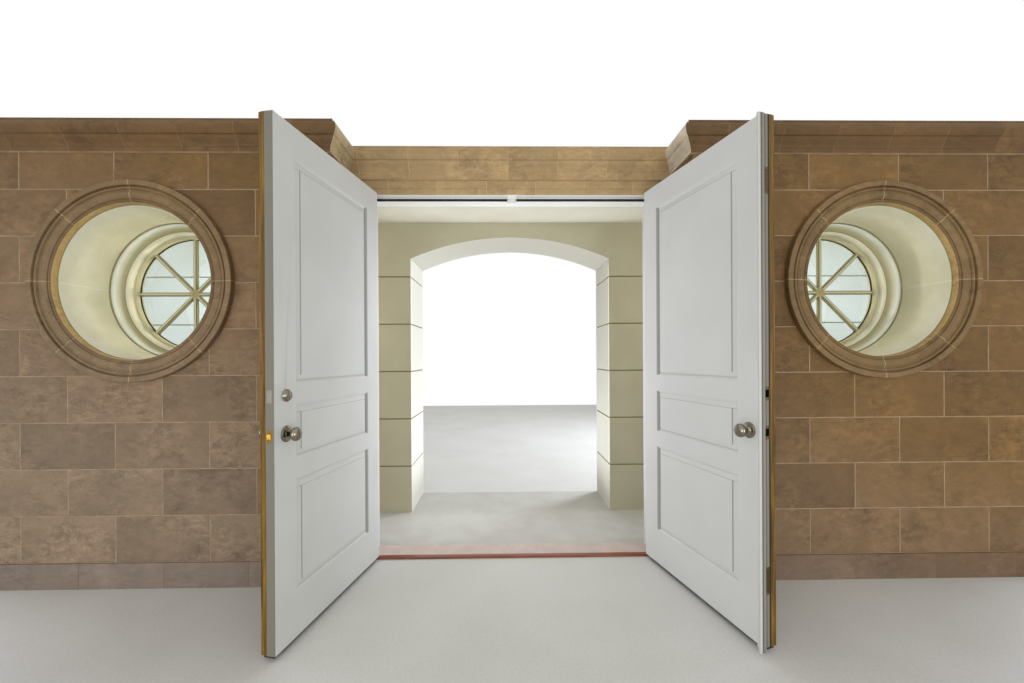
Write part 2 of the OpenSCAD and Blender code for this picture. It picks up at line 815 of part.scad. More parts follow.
module left_door_sweep() { color(black_rubber) on_leaf(left_open_angle) sweep_strip(); }
module left_door_hinge_plates() { color(satin_nickel) on_leaf(left_open_angle) moving_hinges(); }
module left_door_roses() { color(satin_nickel) on_leaf(left_open_angle) left_roses_body(); }
module left_door_knobs() { color(satin_nickel) on_leaf(left_open_angle) left_knobs_body(); }
module left_door_edge_plates() { color(warm_brass) on_leaf(left_open_angle) left_edge_plates_body(); }
module left_latch_bolt() { color(warm_brass) on_leaf(left_open_angle) latch_bolt_body(); }
module right_door_slab() { color(paint_white) right_hand() on_leaf(right_open_angle) right_slab_body(); }
module right_door_lining() { color(golden_wood) right_hand() on_leaf(right_open_angle) lining_blank(); }
module right_door_sweep() { color(black_rubber) right_hand() on_leaf(right_open_angle) sweep_strip(); }
module right_door_hinge_plates() {
    color(satin_nickel) right_hand() on_leaf(right_open_angle) moving_hinges();
}
module right_door_knobs() { color(satin_nickel) right_hand() on_leaf(right_open_angle) right_knobs_body(); }
module right_door_strikes() {
    color(satin_nickel) right_hand() on_leaf(right_open_angle) right_strikes_body();
}
module right_door_flush_bolts() {
    color(satin_nickel) right_hand() on_leaf(right_open_angle) right_flush_bolts_body();
}
module right_door_astragal() {
    color(paint_white) right_hand() on_leaf(right_open_angle) astragal_body();
}

wall_left();
wall_right();
wall_over_door();
stone_facing_left();
stone_facing_right();
stone_over_door();
base_course_left();
base_course_right();
cornice_left();
cornice_right();
cornice_recess();
ring_left();
ring_right();
tunnel_lining_left();
tunnel_lining_right();
window_frame_left();
window_frame_right();
window_glass_left();
window_glass_right();
door_jamb_left();
door_jamb_right();
door_head();
weatherstrip();
threshold();
door_sill();
porch_floor();
porch_ceiling();
porch_wall_left();
porch_wall_right();
porch_arch();
hinge_pins();
left_door_slab();
left_door_lining();
left_door_sweep();
left_door_hinge_plates();
left_door_roses();
left_door_knobs();
left_door_edge_plates();
left_latch_bolt();
right_door_slab();
right_door_lining();
right_door_sweep();
right_door_hinge_plates();
right_door_knobs();
right_door_strikes();
right_door_flush_bolts();
right_door_astragal();
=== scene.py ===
# %% [markdown]
# # Stone entrance wall with two round windows, a pair of panelled doors and an arched porch
# The solids come from the CAD model and never move. This lesson gives each of them its finish, and
# builds the stonework, the mouldings, the window bars and the small fixings that the solids leave plain.

# %% Load the fixed frame
import bmesh
import bpy
import math
from mathutils import Matrix, Vector


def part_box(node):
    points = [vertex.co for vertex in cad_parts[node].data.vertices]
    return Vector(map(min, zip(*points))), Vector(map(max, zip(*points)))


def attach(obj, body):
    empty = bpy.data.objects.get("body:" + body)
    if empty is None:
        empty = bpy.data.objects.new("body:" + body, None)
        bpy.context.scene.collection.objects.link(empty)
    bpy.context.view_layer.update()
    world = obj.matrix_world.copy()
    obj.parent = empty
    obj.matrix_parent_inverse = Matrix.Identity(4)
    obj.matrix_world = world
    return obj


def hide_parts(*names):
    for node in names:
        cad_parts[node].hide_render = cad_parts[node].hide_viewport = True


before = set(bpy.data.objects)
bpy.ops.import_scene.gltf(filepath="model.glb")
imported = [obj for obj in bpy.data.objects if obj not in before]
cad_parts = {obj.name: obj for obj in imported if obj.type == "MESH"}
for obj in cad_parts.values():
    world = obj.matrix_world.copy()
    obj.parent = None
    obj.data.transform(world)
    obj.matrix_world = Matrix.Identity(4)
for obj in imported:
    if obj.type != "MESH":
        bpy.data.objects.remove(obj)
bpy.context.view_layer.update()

# %% [markdown]
# ## Sizes
# Blender works in metres and a stonemason in millimetres, so one helper turns one into the other.
# Every size that the CAD model already holds is read from its nodes, so the two can never disagree.
# The right half is measured, and the left is its mirror image, so most steps run once for each side.

# %% Helpers for sizes
def mm(value):
    """Millimetres to metres."""
    return value / 1000.0


def low_corner(node):
    """Lowest corner of a CAD node."""
    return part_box(node)[0]


def high_corner(node):
    """Highest corner of a CAD node."""
    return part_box(node)[1]


print("size helpers ready: one inch is", mm(25.4), "m")

# %% Driving dimensions, read from the CAD nodes
wall_end = high_corner("stone_facing_right").x
wall_top = high_corner("stone_facing_right").z
room_face = low_corner("stone_facing_right").y
half_recess = high_corner("cornice_recess").x
jamb_back = high_corner("stone_over_door").x
base_top = high_corner("base_course_right").z
base_front = low_corner("base_course_right").y
cornice_low = low_corner("cornice_right").z
recess_low = low_corner("cornice_recess").z
lintel_low = low_corner("stone_over_door").z
stone_depth = high_corner("stone_over_door").y
window_x = (low_corner("ring_right").x + high_corner("ring_right").x) / 2
window_z = (low_corner("ring_right").z + high_corner("ring_right").z) / 2
ring_radius = (high_corner("ring_right").x - low_corner("ring_right").x) / 2
ring_sleeve = high_corner("ring_right").y - room_face
lining_radius = (high_corner("tunnel_lining_right").x - low_corner("tunnel_lining_right").x) / 2
lining_thick = mm(30)
opening_radius = lining_radius - lining_thick
porch_near = low_corner("porch_wall_right").y
porch_far = high_corner("porch_wall_right").y
arch_half = low_corner("porch_wall_right").x
porch_course = mm(412)
channelled_courses = 5
sides = ((-1, "left"), (1, "right"))
print("wall", wall_end, wall_top, "window", window_x, window_z, ring_radius, opening_radius)

# %% [markdown]
# ## Places on an open leaf
# The leaves stand open, so a fixing is set out on a shut leaf, by its place along it, its depth and its
# height, and then swung about the hinge pin.

# %% Places on an open leaf
pin_x = mm(966.5)
pin_y = mm(-1.0)
open_angle = {-1: math.radians(100.5), 1: math.radians(103.5)}
leaf_start, leaf_end = mm(4), mm(964)
leaf_foot, leaf_head = low_corner("left_door_slab").z, high_corner("left_door_slab").z
inner_face, outer_face = mm(9), mm(69)


def leaf_shares(side):
    """Turn of the open leaf as (cosine, sine), for places on it and for finishes that follow it."""
    return math.cos(open_angle[side]), math.sin(open_angle[side])


def on_leaf(side, x, y, z):
    """Point of the open leaf, given by its place along the shut leaf, its depth and its height."""
    cosine, sine = leaf_shares(side)
    across = pin_x - x * cosine - y * sine
    return Vector((side * across, pin_y - x * sine + y * cosine, z))


print("left leaf edge at", on_leaf(-1, leaf_end, outer_face, leaf_head))

# %% [markdown]
# ## Camera
# The picture was taken from inside the room with a wide lens, level with a standing chest.
# The upright lines stay upright, so the lens was shifted a little instead of the camera being tipped.

# %% Camera
image_width = 1024
focal_pixels = 419.3
horizon_pixel = 357.6
middle_pixel = 341.5
camera_data = bpy.data.cameras.new("room_camera")
camera_data.sensor_width = 36.0
camera_data.lens = camera_data.sensor_width * focal_pixels / image_width
camera_data.shift_y = (horizon_pixel - middle_pixel) / image_width
camera_data.clip_start = 0.05
camera = bpy.data.objects.new("room_camera", camera_data)
camera.location = (mm(-43.1), mm(-2843.7), mm(1355.4))
turn_right, tip_up, lean = math.radians(0.881), math.radians(-0.046), math.radians(0.293)
camera.rotation_euler = (math.pi / 2 + tip_up, lean, -turn_right)
bpy.context.scene.collection.objects.link(camera)
bpy.context.scene.camera = camera
print("lens", round(camera_data.lens, 2), "shift", round(camera_data.shift_y, 4))

# %% [markdown]
# ## Finishes
# A real surface is never one flat colour. Each finish below starts from what the real material is
# and how it was worked, and reads the object's own coordinates, so its pattern keeps its real size.

# %% Colour and node helpers
def srgb(code):
    """Turns an sRGB hex colour into the linear colour that the shaders work in."""
    parts = [int(code[i:i + 2], 16) / 255 for i in (1, 3, 5)]
    linear = [p / 12.92 if p <= 0.04045 else ((p + 0.055) / 1.055) ** 2.4 for p in parts]
    return (*linear, 1.0)


def add_node(tree, kind, inputs=None, **settings):
    """Adds a node with its settings, and fills its sockets with values or with links."""
    node = tree.nodes.new(kind)
    for name, value in settings.items():
        setattr(node, name, value)
    for key, value in (inputs or {}).items():
        if isinstance(value, bpy.types.NodeSocket):
            tree.links.new(value, node.inputs[key])
        else:
            node.inputs[key].default_value = value
    return node


def per_size(size_mm):
    """Scale of a noise whose features are about this many millimetres across."""
    return 1.0 / mm(size_mm)


print("middle grey in linear light:", srgb("#808080")[0])

# %% Helpers that build a finish
def start_finish(name, **fixed):
    """A new material with a Principled shader whose uniform values are set on its own sockets, and the
    object's own coordinates, in which its patterns are laid out."""
    material = bpy.data.materials.new(name)
    material.use_nodes = True
    tree = material.node_tree
    tree.nodes.clear()
    shader = add_node(tree, "ShaderNodeBsdfPrincipled")
    for socket, value in fixed.items():
        shader.inputs[socket.replace("_", " ")].default_value = value
    add_node(tree, "ShaderNodeOutputMaterial", {"Surface": shader.outputs[0]})
    place = add_node(tree, "ShaderNodeTexCoord").outputs["Object"]
    return material, tree, shader, place


def colour_steps(tree, factor, steps):
    """A colour ramp through (position, hex colour) steps."""
    ramp = add_node(tree, "ShaderNodeValToRGB", {0: factor})
    elements = ramp.color_ramp.elements
    elements[0].position, elements[0].color = steps[0][0], srgb(steps[0][1])
    elements[1].position, elements[1].color = steps[-1][0], srgb(steps[-1][1])
    for position, code in steps[1:-1]:
        elements.new(position).color = srgb(code)
    return ramp.outputs[0]


def mix_colours(tree, factor, first, second, blend_type="MIX"):
    """Mixes two colours by a factor."""
    mix = add_node(tree, "ShaderNodeMix", {0: factor, 6: first, 7: second},
                   data_type="RGBA", blend_type=blend_type)
    return mix.outputs[2]


def shaded(tree, colour, value):
    """A colour made darker or lighter by a value, alike in its red, green and blue."""
    grey = add_node(tree, "ShaderNodeCombineColor", {0: value, 1: value, 2: value}).outputs[0]
    return mix_colours(tree, 1.0, colour, grey, "MULTIPLY")


def ramp_value(tree, value, low, high, to_low=0.0, to_high=1.0):
    """Maps a value from one range to another, held at both ends."""
    node = add_node(tree, "ShaderNodeMapRange", {0: value, 1: low, 2: high, 3: to_low, 4: to_high})
    return node.outputs[0]


def math_in(tree, operation, *values):
    """Arithmetic inside a material or a geometry tree, such as ADD or LESS_THAN."""
    return add_node(tree, "ShaderNodeMath", dict(enumerate(values)), operation=operation).outputs[0]


def raise_surface(tree, shader, height, depth_mm, strength):
    """Lets a height pattern stand up from the surface by about so many millimetres."""
    bump = add_node(tree, "ShaderNodeBump", {
        "Height": height, "Distance": mm(depth_mm), "Strength": strength})
    tree.links.new(bump.outputs[0], shader.inputs["Normal"])


print("finish helpers ready")

# %% [markdown]
# ### Honed travertine
# Travertine is a limestone laid down by springs. Honing leaves it smooth and dull, with soft brown clouds, a
# faint level bedding, short dark veins and small pits. Every block comes from another place in the quarry, so
# each stone carries a number in the attribute "block" that shifts its pattern and its tone. Over that, the
# colour grows darker and yellower towards the top, which is painted shade, and greyer towards the left. The
# attribute "reveal" marks the inner edge of the rings, which is painted a paler gold as painted light.

# %% Travertine
quarry_spread = 61.0
pit_spacing_mm = 38
lit_lip_gold = "#b49a66"


def travertine(name, low_left_colour, high_right_colour, contrast, tone_low, tone_high):
    """Honed travertine: cloudy patches, faint bedding, veins and pits, with each block its own tone."""
    material, tree, shader, place = start_finish(name, Roughness=0.6, Specular_IOR_Level=0.3)
    block = add_node(tree, "ShaderNodeAttribute", attribute_name="block").outputs["Fac"]
    shift = math_in(tree, "MULTIPLY", block, quarry_spread)

    def cloud(vector, size_mm, detail, distortion):
        return add_node(tree, "ShaderNodeTexNoise", {
            "Vector": vector, "W": shift, "Scale": per_size(size_mm), "Detail": detail, "Roughness": 0.6,
            "Distortion": distortion}, noise_dimensions="4D").outputs[0]

    level = add_node(tree, "ShaderNodeMapping", {"Vector": place, "Scale": (1.0, 1.0, 1.9)}).outputs[0]
    patches = cloud(place, 230, 4.0, 0.3)
    mottle = cloud(level, 62, 5.0, 0.6)
    grain = cloud(place, 9, 2.0, 0.0)
    half = math_in(tree, "MULTIPLY_ADD", mottle, 0.42, math_in(tree, "MULTIPLY", patches, 0.40))
    both = math_in(tree, "MULTIPLY_ADD", grain, 0.18, half)
    shade = ramp_value(tree, both, 0.36, 0.64, -contrast, contrast)
    # a sawn face is calm over wide areas and lively in others, often across half a stone
    lively = ramp_value(tree, cloud(place, 340, 1.0, 0.4), 0.42, 0.62, 0.42, 1.15)
    shade = math_in(tree, "MULTIPLY_ADD", shade, lively, 1.0)
    # real pits are 1 to 3 mm across; these are about 7 mm wide, so that they still show in the render
    pits = add_node(tree, "ShaderNodeTexVoronoi", {
        "Vector": level, "Scale": per_size(pit_spacing_mm), "Randomness": 1.0})
    pit = ramp_value(tree, pits.outputs["Distance"], 0.07, 0.13, 1.0, 0.0)
    pit_here = math_in(tree, "MULTIPLY", pit, ramp_value(tree, patches, 0.50, 0.60))
    ridge = math_in(tree, "ABSOLUTE", math_in(tree, "SUBTRACT", mottle, 0.5))
    vein = ramp_value(tree, ridge, 0.004, 0.016, 1.0, 0.0)
    veined = ramp_value(tree, cloud(place, 170, 1.0, 0.0), 0.56, 0.66)
    vein_here = math_in(tree, "MULTIPLY", vein, veined)
    flaws = math_in(tree, "MAXIMUM", pit_here, vein_here)
    tone = ramp_value(tree, block, 0.0, 1.0, tone_low, tone_high)
    darkened = ramp_value(tree, flaws, 0.0, 1.0, 1.0, 0.66)
    value = math_in(tree, "MULTIPLY", math_in(tree, "MULTIPLY", tone, shade), darkened)
    where = add_node(tree, "ShaderNodeSeparateXYZ", {0: place}).outputs
    # painted shade: the colour grows darker and yellower towards the top, and greyer towards the left
    shade_up_and_across = math_in(tree, "MULTIPLY_ADD", where[0], 0.11, math_in(tree, "MULTIPLY", where[2], 0.30))
    body = mix_colours(tree, ramp_value(tree, shade_up_and_across, -0.05, 0.55), srgb(low_left_colour), srgb(high_right_colour))
    # painted light: the inner edge of each ring is coloured a paler gold
    reveal = add_node(tree, "ShaderNodeAttribute", attribute_name="reveal").outputs["Fac"]
    body = mix_colours(tree, reveal, body, srgb(lit_lip_gold))
    tree.links.new(shaded(tree, body, value), shader.inputs["Base Color"])
    raise_surface(tree, shader, math_in(tree, "SUBTRACT", both, flaws), 1.0, 0.35)
    return material


wall_stone = travertine("travertine_wall_honed", "#8b7763", "#785b34", 0.46, 0.80, 1.12)
# painted shade: the cornice is coloured darker than the wall
shaded_cornice_stone = travertine("travertine_cornice_run", "#6b5339", "#6b502f", 0.40, 0.90, 1.08)
# painted daylight: the stones over the doors and the recess cornice are coloured paler
daylit_stone = travertine("travertine_daylit_pale", "#ad9571", "#b0956c", 0.34, 0.92, 1.06)
# painted daylight: the cornice returns are coloured paler, the right one more
daylit_returns = {
    -1: travertine("travertine_return_left", "#b8a886", "#b8a582", 0.24, 0.94, 1.05),
    1: travertine("travertine_return_right", "#d6ccba", "#d5c9b4", 0.24, 0.94, 1.05)}
ring_stone = travertine("travertine_ring_moulded", "#84705a", "#7f6744", 0.38, 0.88, 1.10)
base_stone = travertine("travertine_base_course", "#84766b", "#684922", 0.36, 0.90, 1.08)
print("travertine finishes:", wall_stone.name, daylit_stone.name, ring_stone.name, base_stone.name)

# %% [markdown]
# ### Joints, smooth limestone and plaster
# The joints are filled with a sandy lime mortar that is paler than the stone. The lining of the round tunnels
# is a fine cream limestone rubbed smooth; the porch walls are the same kind of stone, a little olive,
# coloured whiter within the archway as painted daylight and darker in their channels as painted shade. All of
# them are quiet surfaces: a slow drift of colour and a fine grain.

# %% Quiet mineral finishes
channel_shade_half = mm(5)
face_margin = mm(4)


def porch_coats(tree, place, stone, archway_light, channel_shade):
    """Two colours more on the porch wall: painted daylight within the archway, and painted shade in the
    channels.
    """
    where = add_node(tree, "ShaderNodeSeparateXYZ", {0: place}).outputs
    beside = math_in(tree, "LESS_THAN", math_in(tree, "ABSOLUTE", where[0]), arch_half + mm(2))
    behind = math_in(tree, "GREATER_THAN", where[1], porch_near + face_margin)
    stone = mix_colours(tree, math_in(tree, "MULTIPLY", beside, behind), stone, srgb(archway_light))
    from_channel = math_in(tree, "PINGPONG", where[2], porch_course / 2)
    in_channel = math_in(tree, "LESS_THAN", from_channel, channel_shade_half)
    below = math_in(tree, "LESS_THAN", where[2], porch_course * (channelled_courses + 0.5))
    in_channel = math_in(tree, "MULTIPLY", in_channel, below)
    on_porch = math_in(tree, "GREATER_THAN", where[1], porch_near - mm(1))
    return mix_colours(tree, math_in(tree, "MULTIPLY", in_channel, on_porch), stone, srgb(channel_shade))


def quiet_mineral(name, body, drift, grain_mm, drift_mm, relief_mm, roughness=0.7, porch=None):
    """A fine mineral surface: a slow drift between two near colours and a small grain."""
    material, tree, shader, place = start_finish(name, Roughness=roughness, Specular_IOR_Level=0.3)
    slow = add_node(tree, "ShaderNodeTexNoise", {
        "Vector": place, "Scale": per_size(drift_mm), "Detail": 4.0}).outputs[0]
    grain = add_node(tree, "ShaderNodeTexNoise", {
        "Vector": place, "Scale": per_size(grain_mm), "Detail": 3.0}).outputs[0]
    drifted = colour_steps(tree, slow, [(0.36, drift), (0.62, body)])
    if porch:
        drifted = porch_coats(tree, place, drifted, *porch)
    speck = ramp_value(tree, grain, 0.3, 0.7, 0.95, 1.04)
    tree.links.new(shaded(tree, drifted, speck), shader.inputs["Base Color"])
    raise_surface(tree, shader, grain, relief_mm, 0.5)
    return material


def lime_mortar(name, body, drift):
    """Sandy mortar: a coarser grain, and a rougher face than rubbed stone."""
    return quiet_mineral(name, body, drift, 4, 60, 0.6, 0.85)


joint_mortar = lime_mortar("lime_mortar_joint", "#a79377", "#967f66")
ring_mortar = lime_mortar("lime_mortar_ring", "#c2a981", "#a98f68")
run_mortar = lime_mortar("lime_mortar_run", "#8b7556", "#7a6448")
# painted daylight: the joints of the paler stones are coloured paler too
daylit_mortar = lime_mortar("lime_mortar_pale", "#c3ac86", "#b39a72")
# painted light in the archway and painted shade in the channels of the porch
porch_stone = quiet_mineral("limestone_porch_cream", "#bfbaa3", "#bab49c", 8, 300, 0.6,
                            porch=("#c9c7ba", "#857f5c"))
porch_plaster = quiet_mineral("plaster_porch_ceiling", "#dbd8c9", "#d3cfbd", 9, 400, 0.4)
paving_stone = quiet_mineral("limestone_porch_floor", "#bfbdb7", "#b8b5ae", 6, 180, 0.5)
sill_stone = quiet_mineral("limestone_sill_pink", "#cfbeb7", "#c6b4ac", 6, 120, 0.4)
print("quiet finishes ready")

# %% Lining of the round tunnels
def lined_limestone(name, body, drift, pale_joint, joint_height):
    """Two curved slabs of cream limestone that meet level with the window's axis, in a pale fine joint."""
    material, tree, shader, place = start_finish(name, Roughness=0.66, Specular_IOR_Level=0.3)
    slow = add_node(tree, "ShaderNodeTexNoise", {
        "Vector": place, "Scale": per_size(190), "Detail": 5.0, "Roughness": 0.6}).outputs[0]
    stone = colour_steps(tree, slow, [(0.34, drift), (0.66, body)])
    height = add_node(tree, "ShaderNodeSeparateXYZ", {0: place}).outputs[2]
    off_joint = math_in(tree, "ABSOLUTE", math_in(tree, "SUBTRACT", height, joint_height))
    # the real joint is 2 mm; it is drawn at 3 mm, so that it still shows
    joint = ramp_value(tree, off_joint, mm(1.0), mm(2.0), 1.0, 0.0)
    tree.links.new(mix_colours(tree, joint, stone, srgb(pale_joint)), shader.inputs["Base Color"])
    raise_surface(tree, shader, slow, 0.3, 0.3)
    return material


lining_stone = lined_limestone("limestone_lining_rubbed", "#dcdac4", "#d2cfb4", "#ebe8d8", window_z)
print("lining:", lining_stone.name, "joint at", round(window_z, 4))

# %% [markdown]
# ### Paint, varnish, rubber and metal
# Doors and frames are wood under a satin paint that a roller laid on: almost plain, with a faint stipple that
# keeps the highlights soft. The head of the door frame is coloured whiter than the jambs, as painted light.
# The mouldings of the leaves are coloured grey as painted shade, and the right leaf is a little paler than
# the left, as painted light. Their meeting edges get colours of their own, partly the wood and paint of the
# edge and partly painted shade, and the pockets that were cut for the bolts are coloured dark as painted
# shade. The room side of each leaf is golden varnished wood. Knobs and roses are polished nickel, coloured
# dark as a painted reflection of a dim room, and the latch is brass.

# %% Satin paint
def rolled_cloud(tree, place, body, shade):
    """The slow cloud between two near whites that shows where the roller was reloaded."""
    slow = add_node(tree, "ShaderNodeTexNoise", {
        "Vector": place, "Scale": per_size(420), "Detail": 2.0}).outputs[0]
    return colour_steps(tree, slow, [(0.35, shade), (0.65, body)])


def roll_stipple(tree, shader, place, strength):
    """The faint orange-peel relief that a roller leaves."""
    stipple = add_node(tree, "ShaderNodeTexNoise", {"Vector": place, "Scale": per_size(5), "Detail": 2.0})
    raise_surface(tree, shader, stipple.outputs[0], 0.12, strength)


def satin_paint(name, body, shade):
    """Rolled satin paint, almost plain."""
    material, tree, shader, place = start_finish(name, Roughness=0.38, Specular_IOR_Level=0.45)
    tree.links.new(rolled_cloud(tree, place, body, shade), shader.inputs["Base Color"])
    roll_stipple(tree, shader, place, 0.35)
    return material


door_white = satin_paint("paint_door_satin_white", "#cdcecc", "#c7c8c5")
# painted light: the head is coloured whiter than the jambs, which have the same paint
lit_head_white = satin_paint("paint_head_fresh_white", "#eeeeea", "#e8e8e3")
print("satin paints:", door_white.name, lit_head_white.name)

# %% Paint of the leaves
def within(tree, value, low, high):
    """One where a value lies between two limits in millimetres, and nought elsewhere."""
    above = math_in(tree, "GREATER_THAN", value, mm(low))
    return math_in(tree, "MULTIPLY", above, math_in(tree, "LESS_THAN", value, mm(high)))


panel_heights = [(213, 758), (847, 1118), (1208, 2294)]
moulded_face = mm(50)
primer_line = mm(2225)
pocket_reach = mm(60)
pocket_depths = (27, 66)
painted_shade_grey, pocket_shade = "#949591", "#2a2119"


def moulding_painted_shade(tree, along, height, depth):
    """Strength of the grey painted into the mouldings as shade: strong on their hinge side only. Each line of
    it has a start and end along the leaf, a low and high end, in millimetres, and an amount."""
    shade_strength = 0.0
    for foot, top in panel_heights:
        for start, end, low, high, amount in (
                (139, 163, foot + 6, top - 6, 0.85), (775, 783, foot + 44, top - 44, 1.0),
                (162, 806, top - 49, top - 44, 0.4), (162, 806, foot + 17, foot + 23, 0.4)):
            along_line, up_line = within(tree, along, start, end), within(tree, height, low, high)
            line = math_in(tree, "MULTIPLY", along_line, up_line)
            shade_strength = math_in(tree, "MAXIMUM", shade_strength, math_in(tree, "MULTIPLY", line, amount))
    return math_in(tree, "MULTIPLY", shade_strength, math_in(tree, "GREATER_THAN", depth, moulded_face))


def leaf_paint(name, body, shade, side, tones_and_shade, primed):
    """Rolled satin paint on a leaf. Its meeting edge has colours of its own, by depth: (from depth, colour),
    partly the wood and paint of the edge and partly painted shade. The first of them stops at the primer
    line, and only the primer shows above it. Pockets are coloured dark as painted shade."""
    material, tree, shader, place = start_finish(name, Roughness=0.5, Specular_IOR_Level=0.3)
    where = add_node(tree, "ShaderNodeSeparateXYZ", {0: place}).outputs
    cosine, sine = leaf_shares(side)
    out_of_pin = math_in(tree, "MULTIPLY_ADD", where[0], -side, pin_x)
    before_pin = math_in(tree, "SUBTRACT", pin_y, where[1])
    along = math_in(tree, "MULTIPLY_ADD", out_of_pin, cosine, math_in(tree, "MULTIPLY", before_pin, sine))
    depth = math_in(tree, "MULTIPLY_ADD", out_of_pin, sine, math_in(tree, "MULTIPLY", before_pin, -cosine))
    height = math_in(tree, "SUBTRACT", where[2], leaf_foot)
    # painted shade: grey in the mouldings of the leaf
    shade_strength = moulding_painted_shade(tree, along, height, depth)
    paint = mix_colours(tree, shade_strength, rolled_cloud(tree, place, body, shade), srgb(painted_shade_grey))
    # painted shade: the pockets of the bolts are coloured dark
    near_edge = math_in(tree, "GREATER_THAN", along, leaf_end - pocket_reach)
    in_pocket = math_in(tree, "MULTIPLY", near_edge, within(tree, depth, *pocket_depths))
    paint = mix_colours(tree, in_pocket, paint, srgb(pocket_shade))
    unpainted = math_in(tree, "GREATER_THAN", where[2], primer_line)
    edge = mix_colours(tree, unpainted, srgb(tones_and_shade[0][1]), srgb(primed))
    for start, code in tones_and_shade[1:]:
        edge = mix_colours(tree, math_in(tree, "GREATER_THAN", depth, mm(start)), edge, srgb(code))
    at_edge = math_in(tree, "GREATER_THAN", along, leaf_end - mm(0.5))
    tree.links.new(mix_colours(tree, at_edge, paint, edge), shader.inputs["Base Color"])
    roll_stipple(tree, shader, place, 0.35)
    return material


# the right leaf is a little paler than the left as painted light; the grey left edge and the near-black strip
# and dark lines on the right edge and astragal are painted shade
left_leaf_paint = leaf_paint("paint_left_leaf", "#cccdcb", "#c7c8c5", -1, [(0, "#79756a")], "#79756a")
right_leaf_paint = leaf_paint("paint_right_leaf", "#d5d6d6", "#d0d1d1", 1, [
    (0, "#8d6a26"), (21, "#1d1710"), (34, "#7f7a70"), (46, "#6a665e"), (54, "#9c9c92"), (76, "#8c8c83"),
    (86, "#5c5d57"), (93, "#c6c6c3")], "#c2b68c")
print("leaf paints:", left_leaf_paint.name, right_leaf_paint.name)

# %% Paint of the round windows
def banded_paint_and_shade(name, radius_tones_and_shade):
    """Turned joinery in satin paint: each member round the axis has its own colour, from white on the splay
    to cream and olive further in; the olive of the cove and the sash and the dark rings at the grooves are
    painted shade.
    """
    material, tree, shader, place = start_finish(name, Roughness=0.42, Specular_IOR_Level=0.4)
    where = add_node(tree, "ShaderNodeSeparateXYZ", {0: place}).outputs
    across = math_in(tree, "SUBTRACT", math_in(tree, "ABSOLUTE", where[0]), window_x)
    up = math_in(tree, "SUBTRACT", where[2], window_z)
    from_axis = add_node(tree, "ShaderNodeCombineXYZ", {0: across, 2: up}).outputs[0]
    radius = add_node(tree, "ShaderNodeVectorMath", {0: from_axis}, operation="LENGTH").outputs["Value"]
    low, high = radius_tones_and_shade[0][0], radius_tones_and_shade[-1][0]
    share = ramp_value(tree, radius, mm(low), mm(high))
    tones_and_shade = colour_steps(tree, share, [((r - low) / (high - low), code) for r, code in radius_tones_and_shade])
    cloud = add_node(tree, "ShaderNodeTexNoise", {
        "Vector": place, "Scale": per_size(60), "Detail": 3.0}).outputs[0]
    speck = ramp_value(tree, cloud, 0.3, 0.7, 0.96, 1.03)
    tree.links.new(shaded(tree, tones_and_shade, speck), shader.inputs["Base Color"])
    roll_stipple(tree, shader, place, 0.3)
    return material


def front_lit_paint(name, face, side):
    """Bar paint: the flat front is coloured pale as painted light, and the slopes olive as painted shade. The
    attribute "edge" says which.
    """
    material, tree, shader, place = start_finish(name, Roughness=0.45, Specular_IOR_Level=0.4)
    cloud = add_node(tree, "ShaderNodeTexNoise", {
        "Vector": place, "Scale": per_size(45), "Detail": 3.0}).outputs[0]
    edge = add_node(tree, "ShaderNodeAttribute", attribute_name="edge").outputs["Fac"]
    # painted light on the flat front, painted shade on the slopes
    wear_and_light = math_in(tree, "MULTIPLY_ADD", cloud, 0.3, math_in(tree, "MULTIPLY_ADD", edge, 0.85, -0.15))
    tree.links.new(colour_steps(tree, wear_and_light, [(0.1, side), (0.8, face)]), shader.inputs["Base Color"])
    return material


# painted shade: olive and dark rings on the white frame, by radius
window_paint = banded_paint_and_shade("paint_window_frame", [
    (380, "#97916c"), (388, "#b7b18e"), (400, "#bcb692"), (402, "#8d865f"),
    (404, "#d9d7bf"), (418, "#e0dfcb"), (420, "#80784f"), (423, "#9d9669"),
    (438, "#b0aa84"), (446, "#cfcfb8"), (450, "#dfe4db"), (488, "#e2e7df")])
bar_paint = front_lit_paint("paint_window_bar", "#cdc9a9", "#948d69")
hub_paint = satin_paint("paint_window_hub", "#b3a475", "#a89968")
print("window paints:", window_paint.name, bar_paint.name, hub_paint.name)

# %% Varnished and stained wood
streak_mm, streak_length_mm = 14, 400


def grained_wood(name, deep, body, light, grain_axis, roughness, coat, specular=0.5):
    """Straight grained wood under varnish: long streaks along the grain, and a clear coat."""
    material, tree, shader, place = start_finish(
        name, Roughness=roughness, Specular_IOR_Level=specular, Coat_Weight=coat, Coat_Roughness=0.12)
    stretch = [1.0, 1.0, 1.0]
    stretch[grain_axis] = streak_mm / streak_length_mm
    along = add_node(tree, "ShaderNodeMapping", {"Vector": place, "Scale": tuple(stretch)}).outputs[0]
    streaks = add_node(tree, "ShaderNodeTexNoise", {
        "Vector": along, "Scale": per_size(streak_mm), "Detail": 6.0, "Roughness": 0.65,
        "Distortion": 0.6}).outputs[0]
    wood = colour_steps(tree, streaks, [(0.3, deep), (0.5, body), (0.7, light)])
    tree.links.new(wood, shader.inputs["Base Color"])
    raise_surface(tree, shader, streaks, 0.3, 0.3)
    return material


golden_wood = grained_wood("wood_golden_varnish", "#33220a", "#6c4d12", "#967429", 2, 0.4, 0.06, 0.25)
threshold_wood = grained_wood("wood_threshold_oiled", "#5a240c", "#7c3a18", "#95512a", 0, 0.45, 0.25)
print("woods:", golden_wood.name, threshold_wood.name)

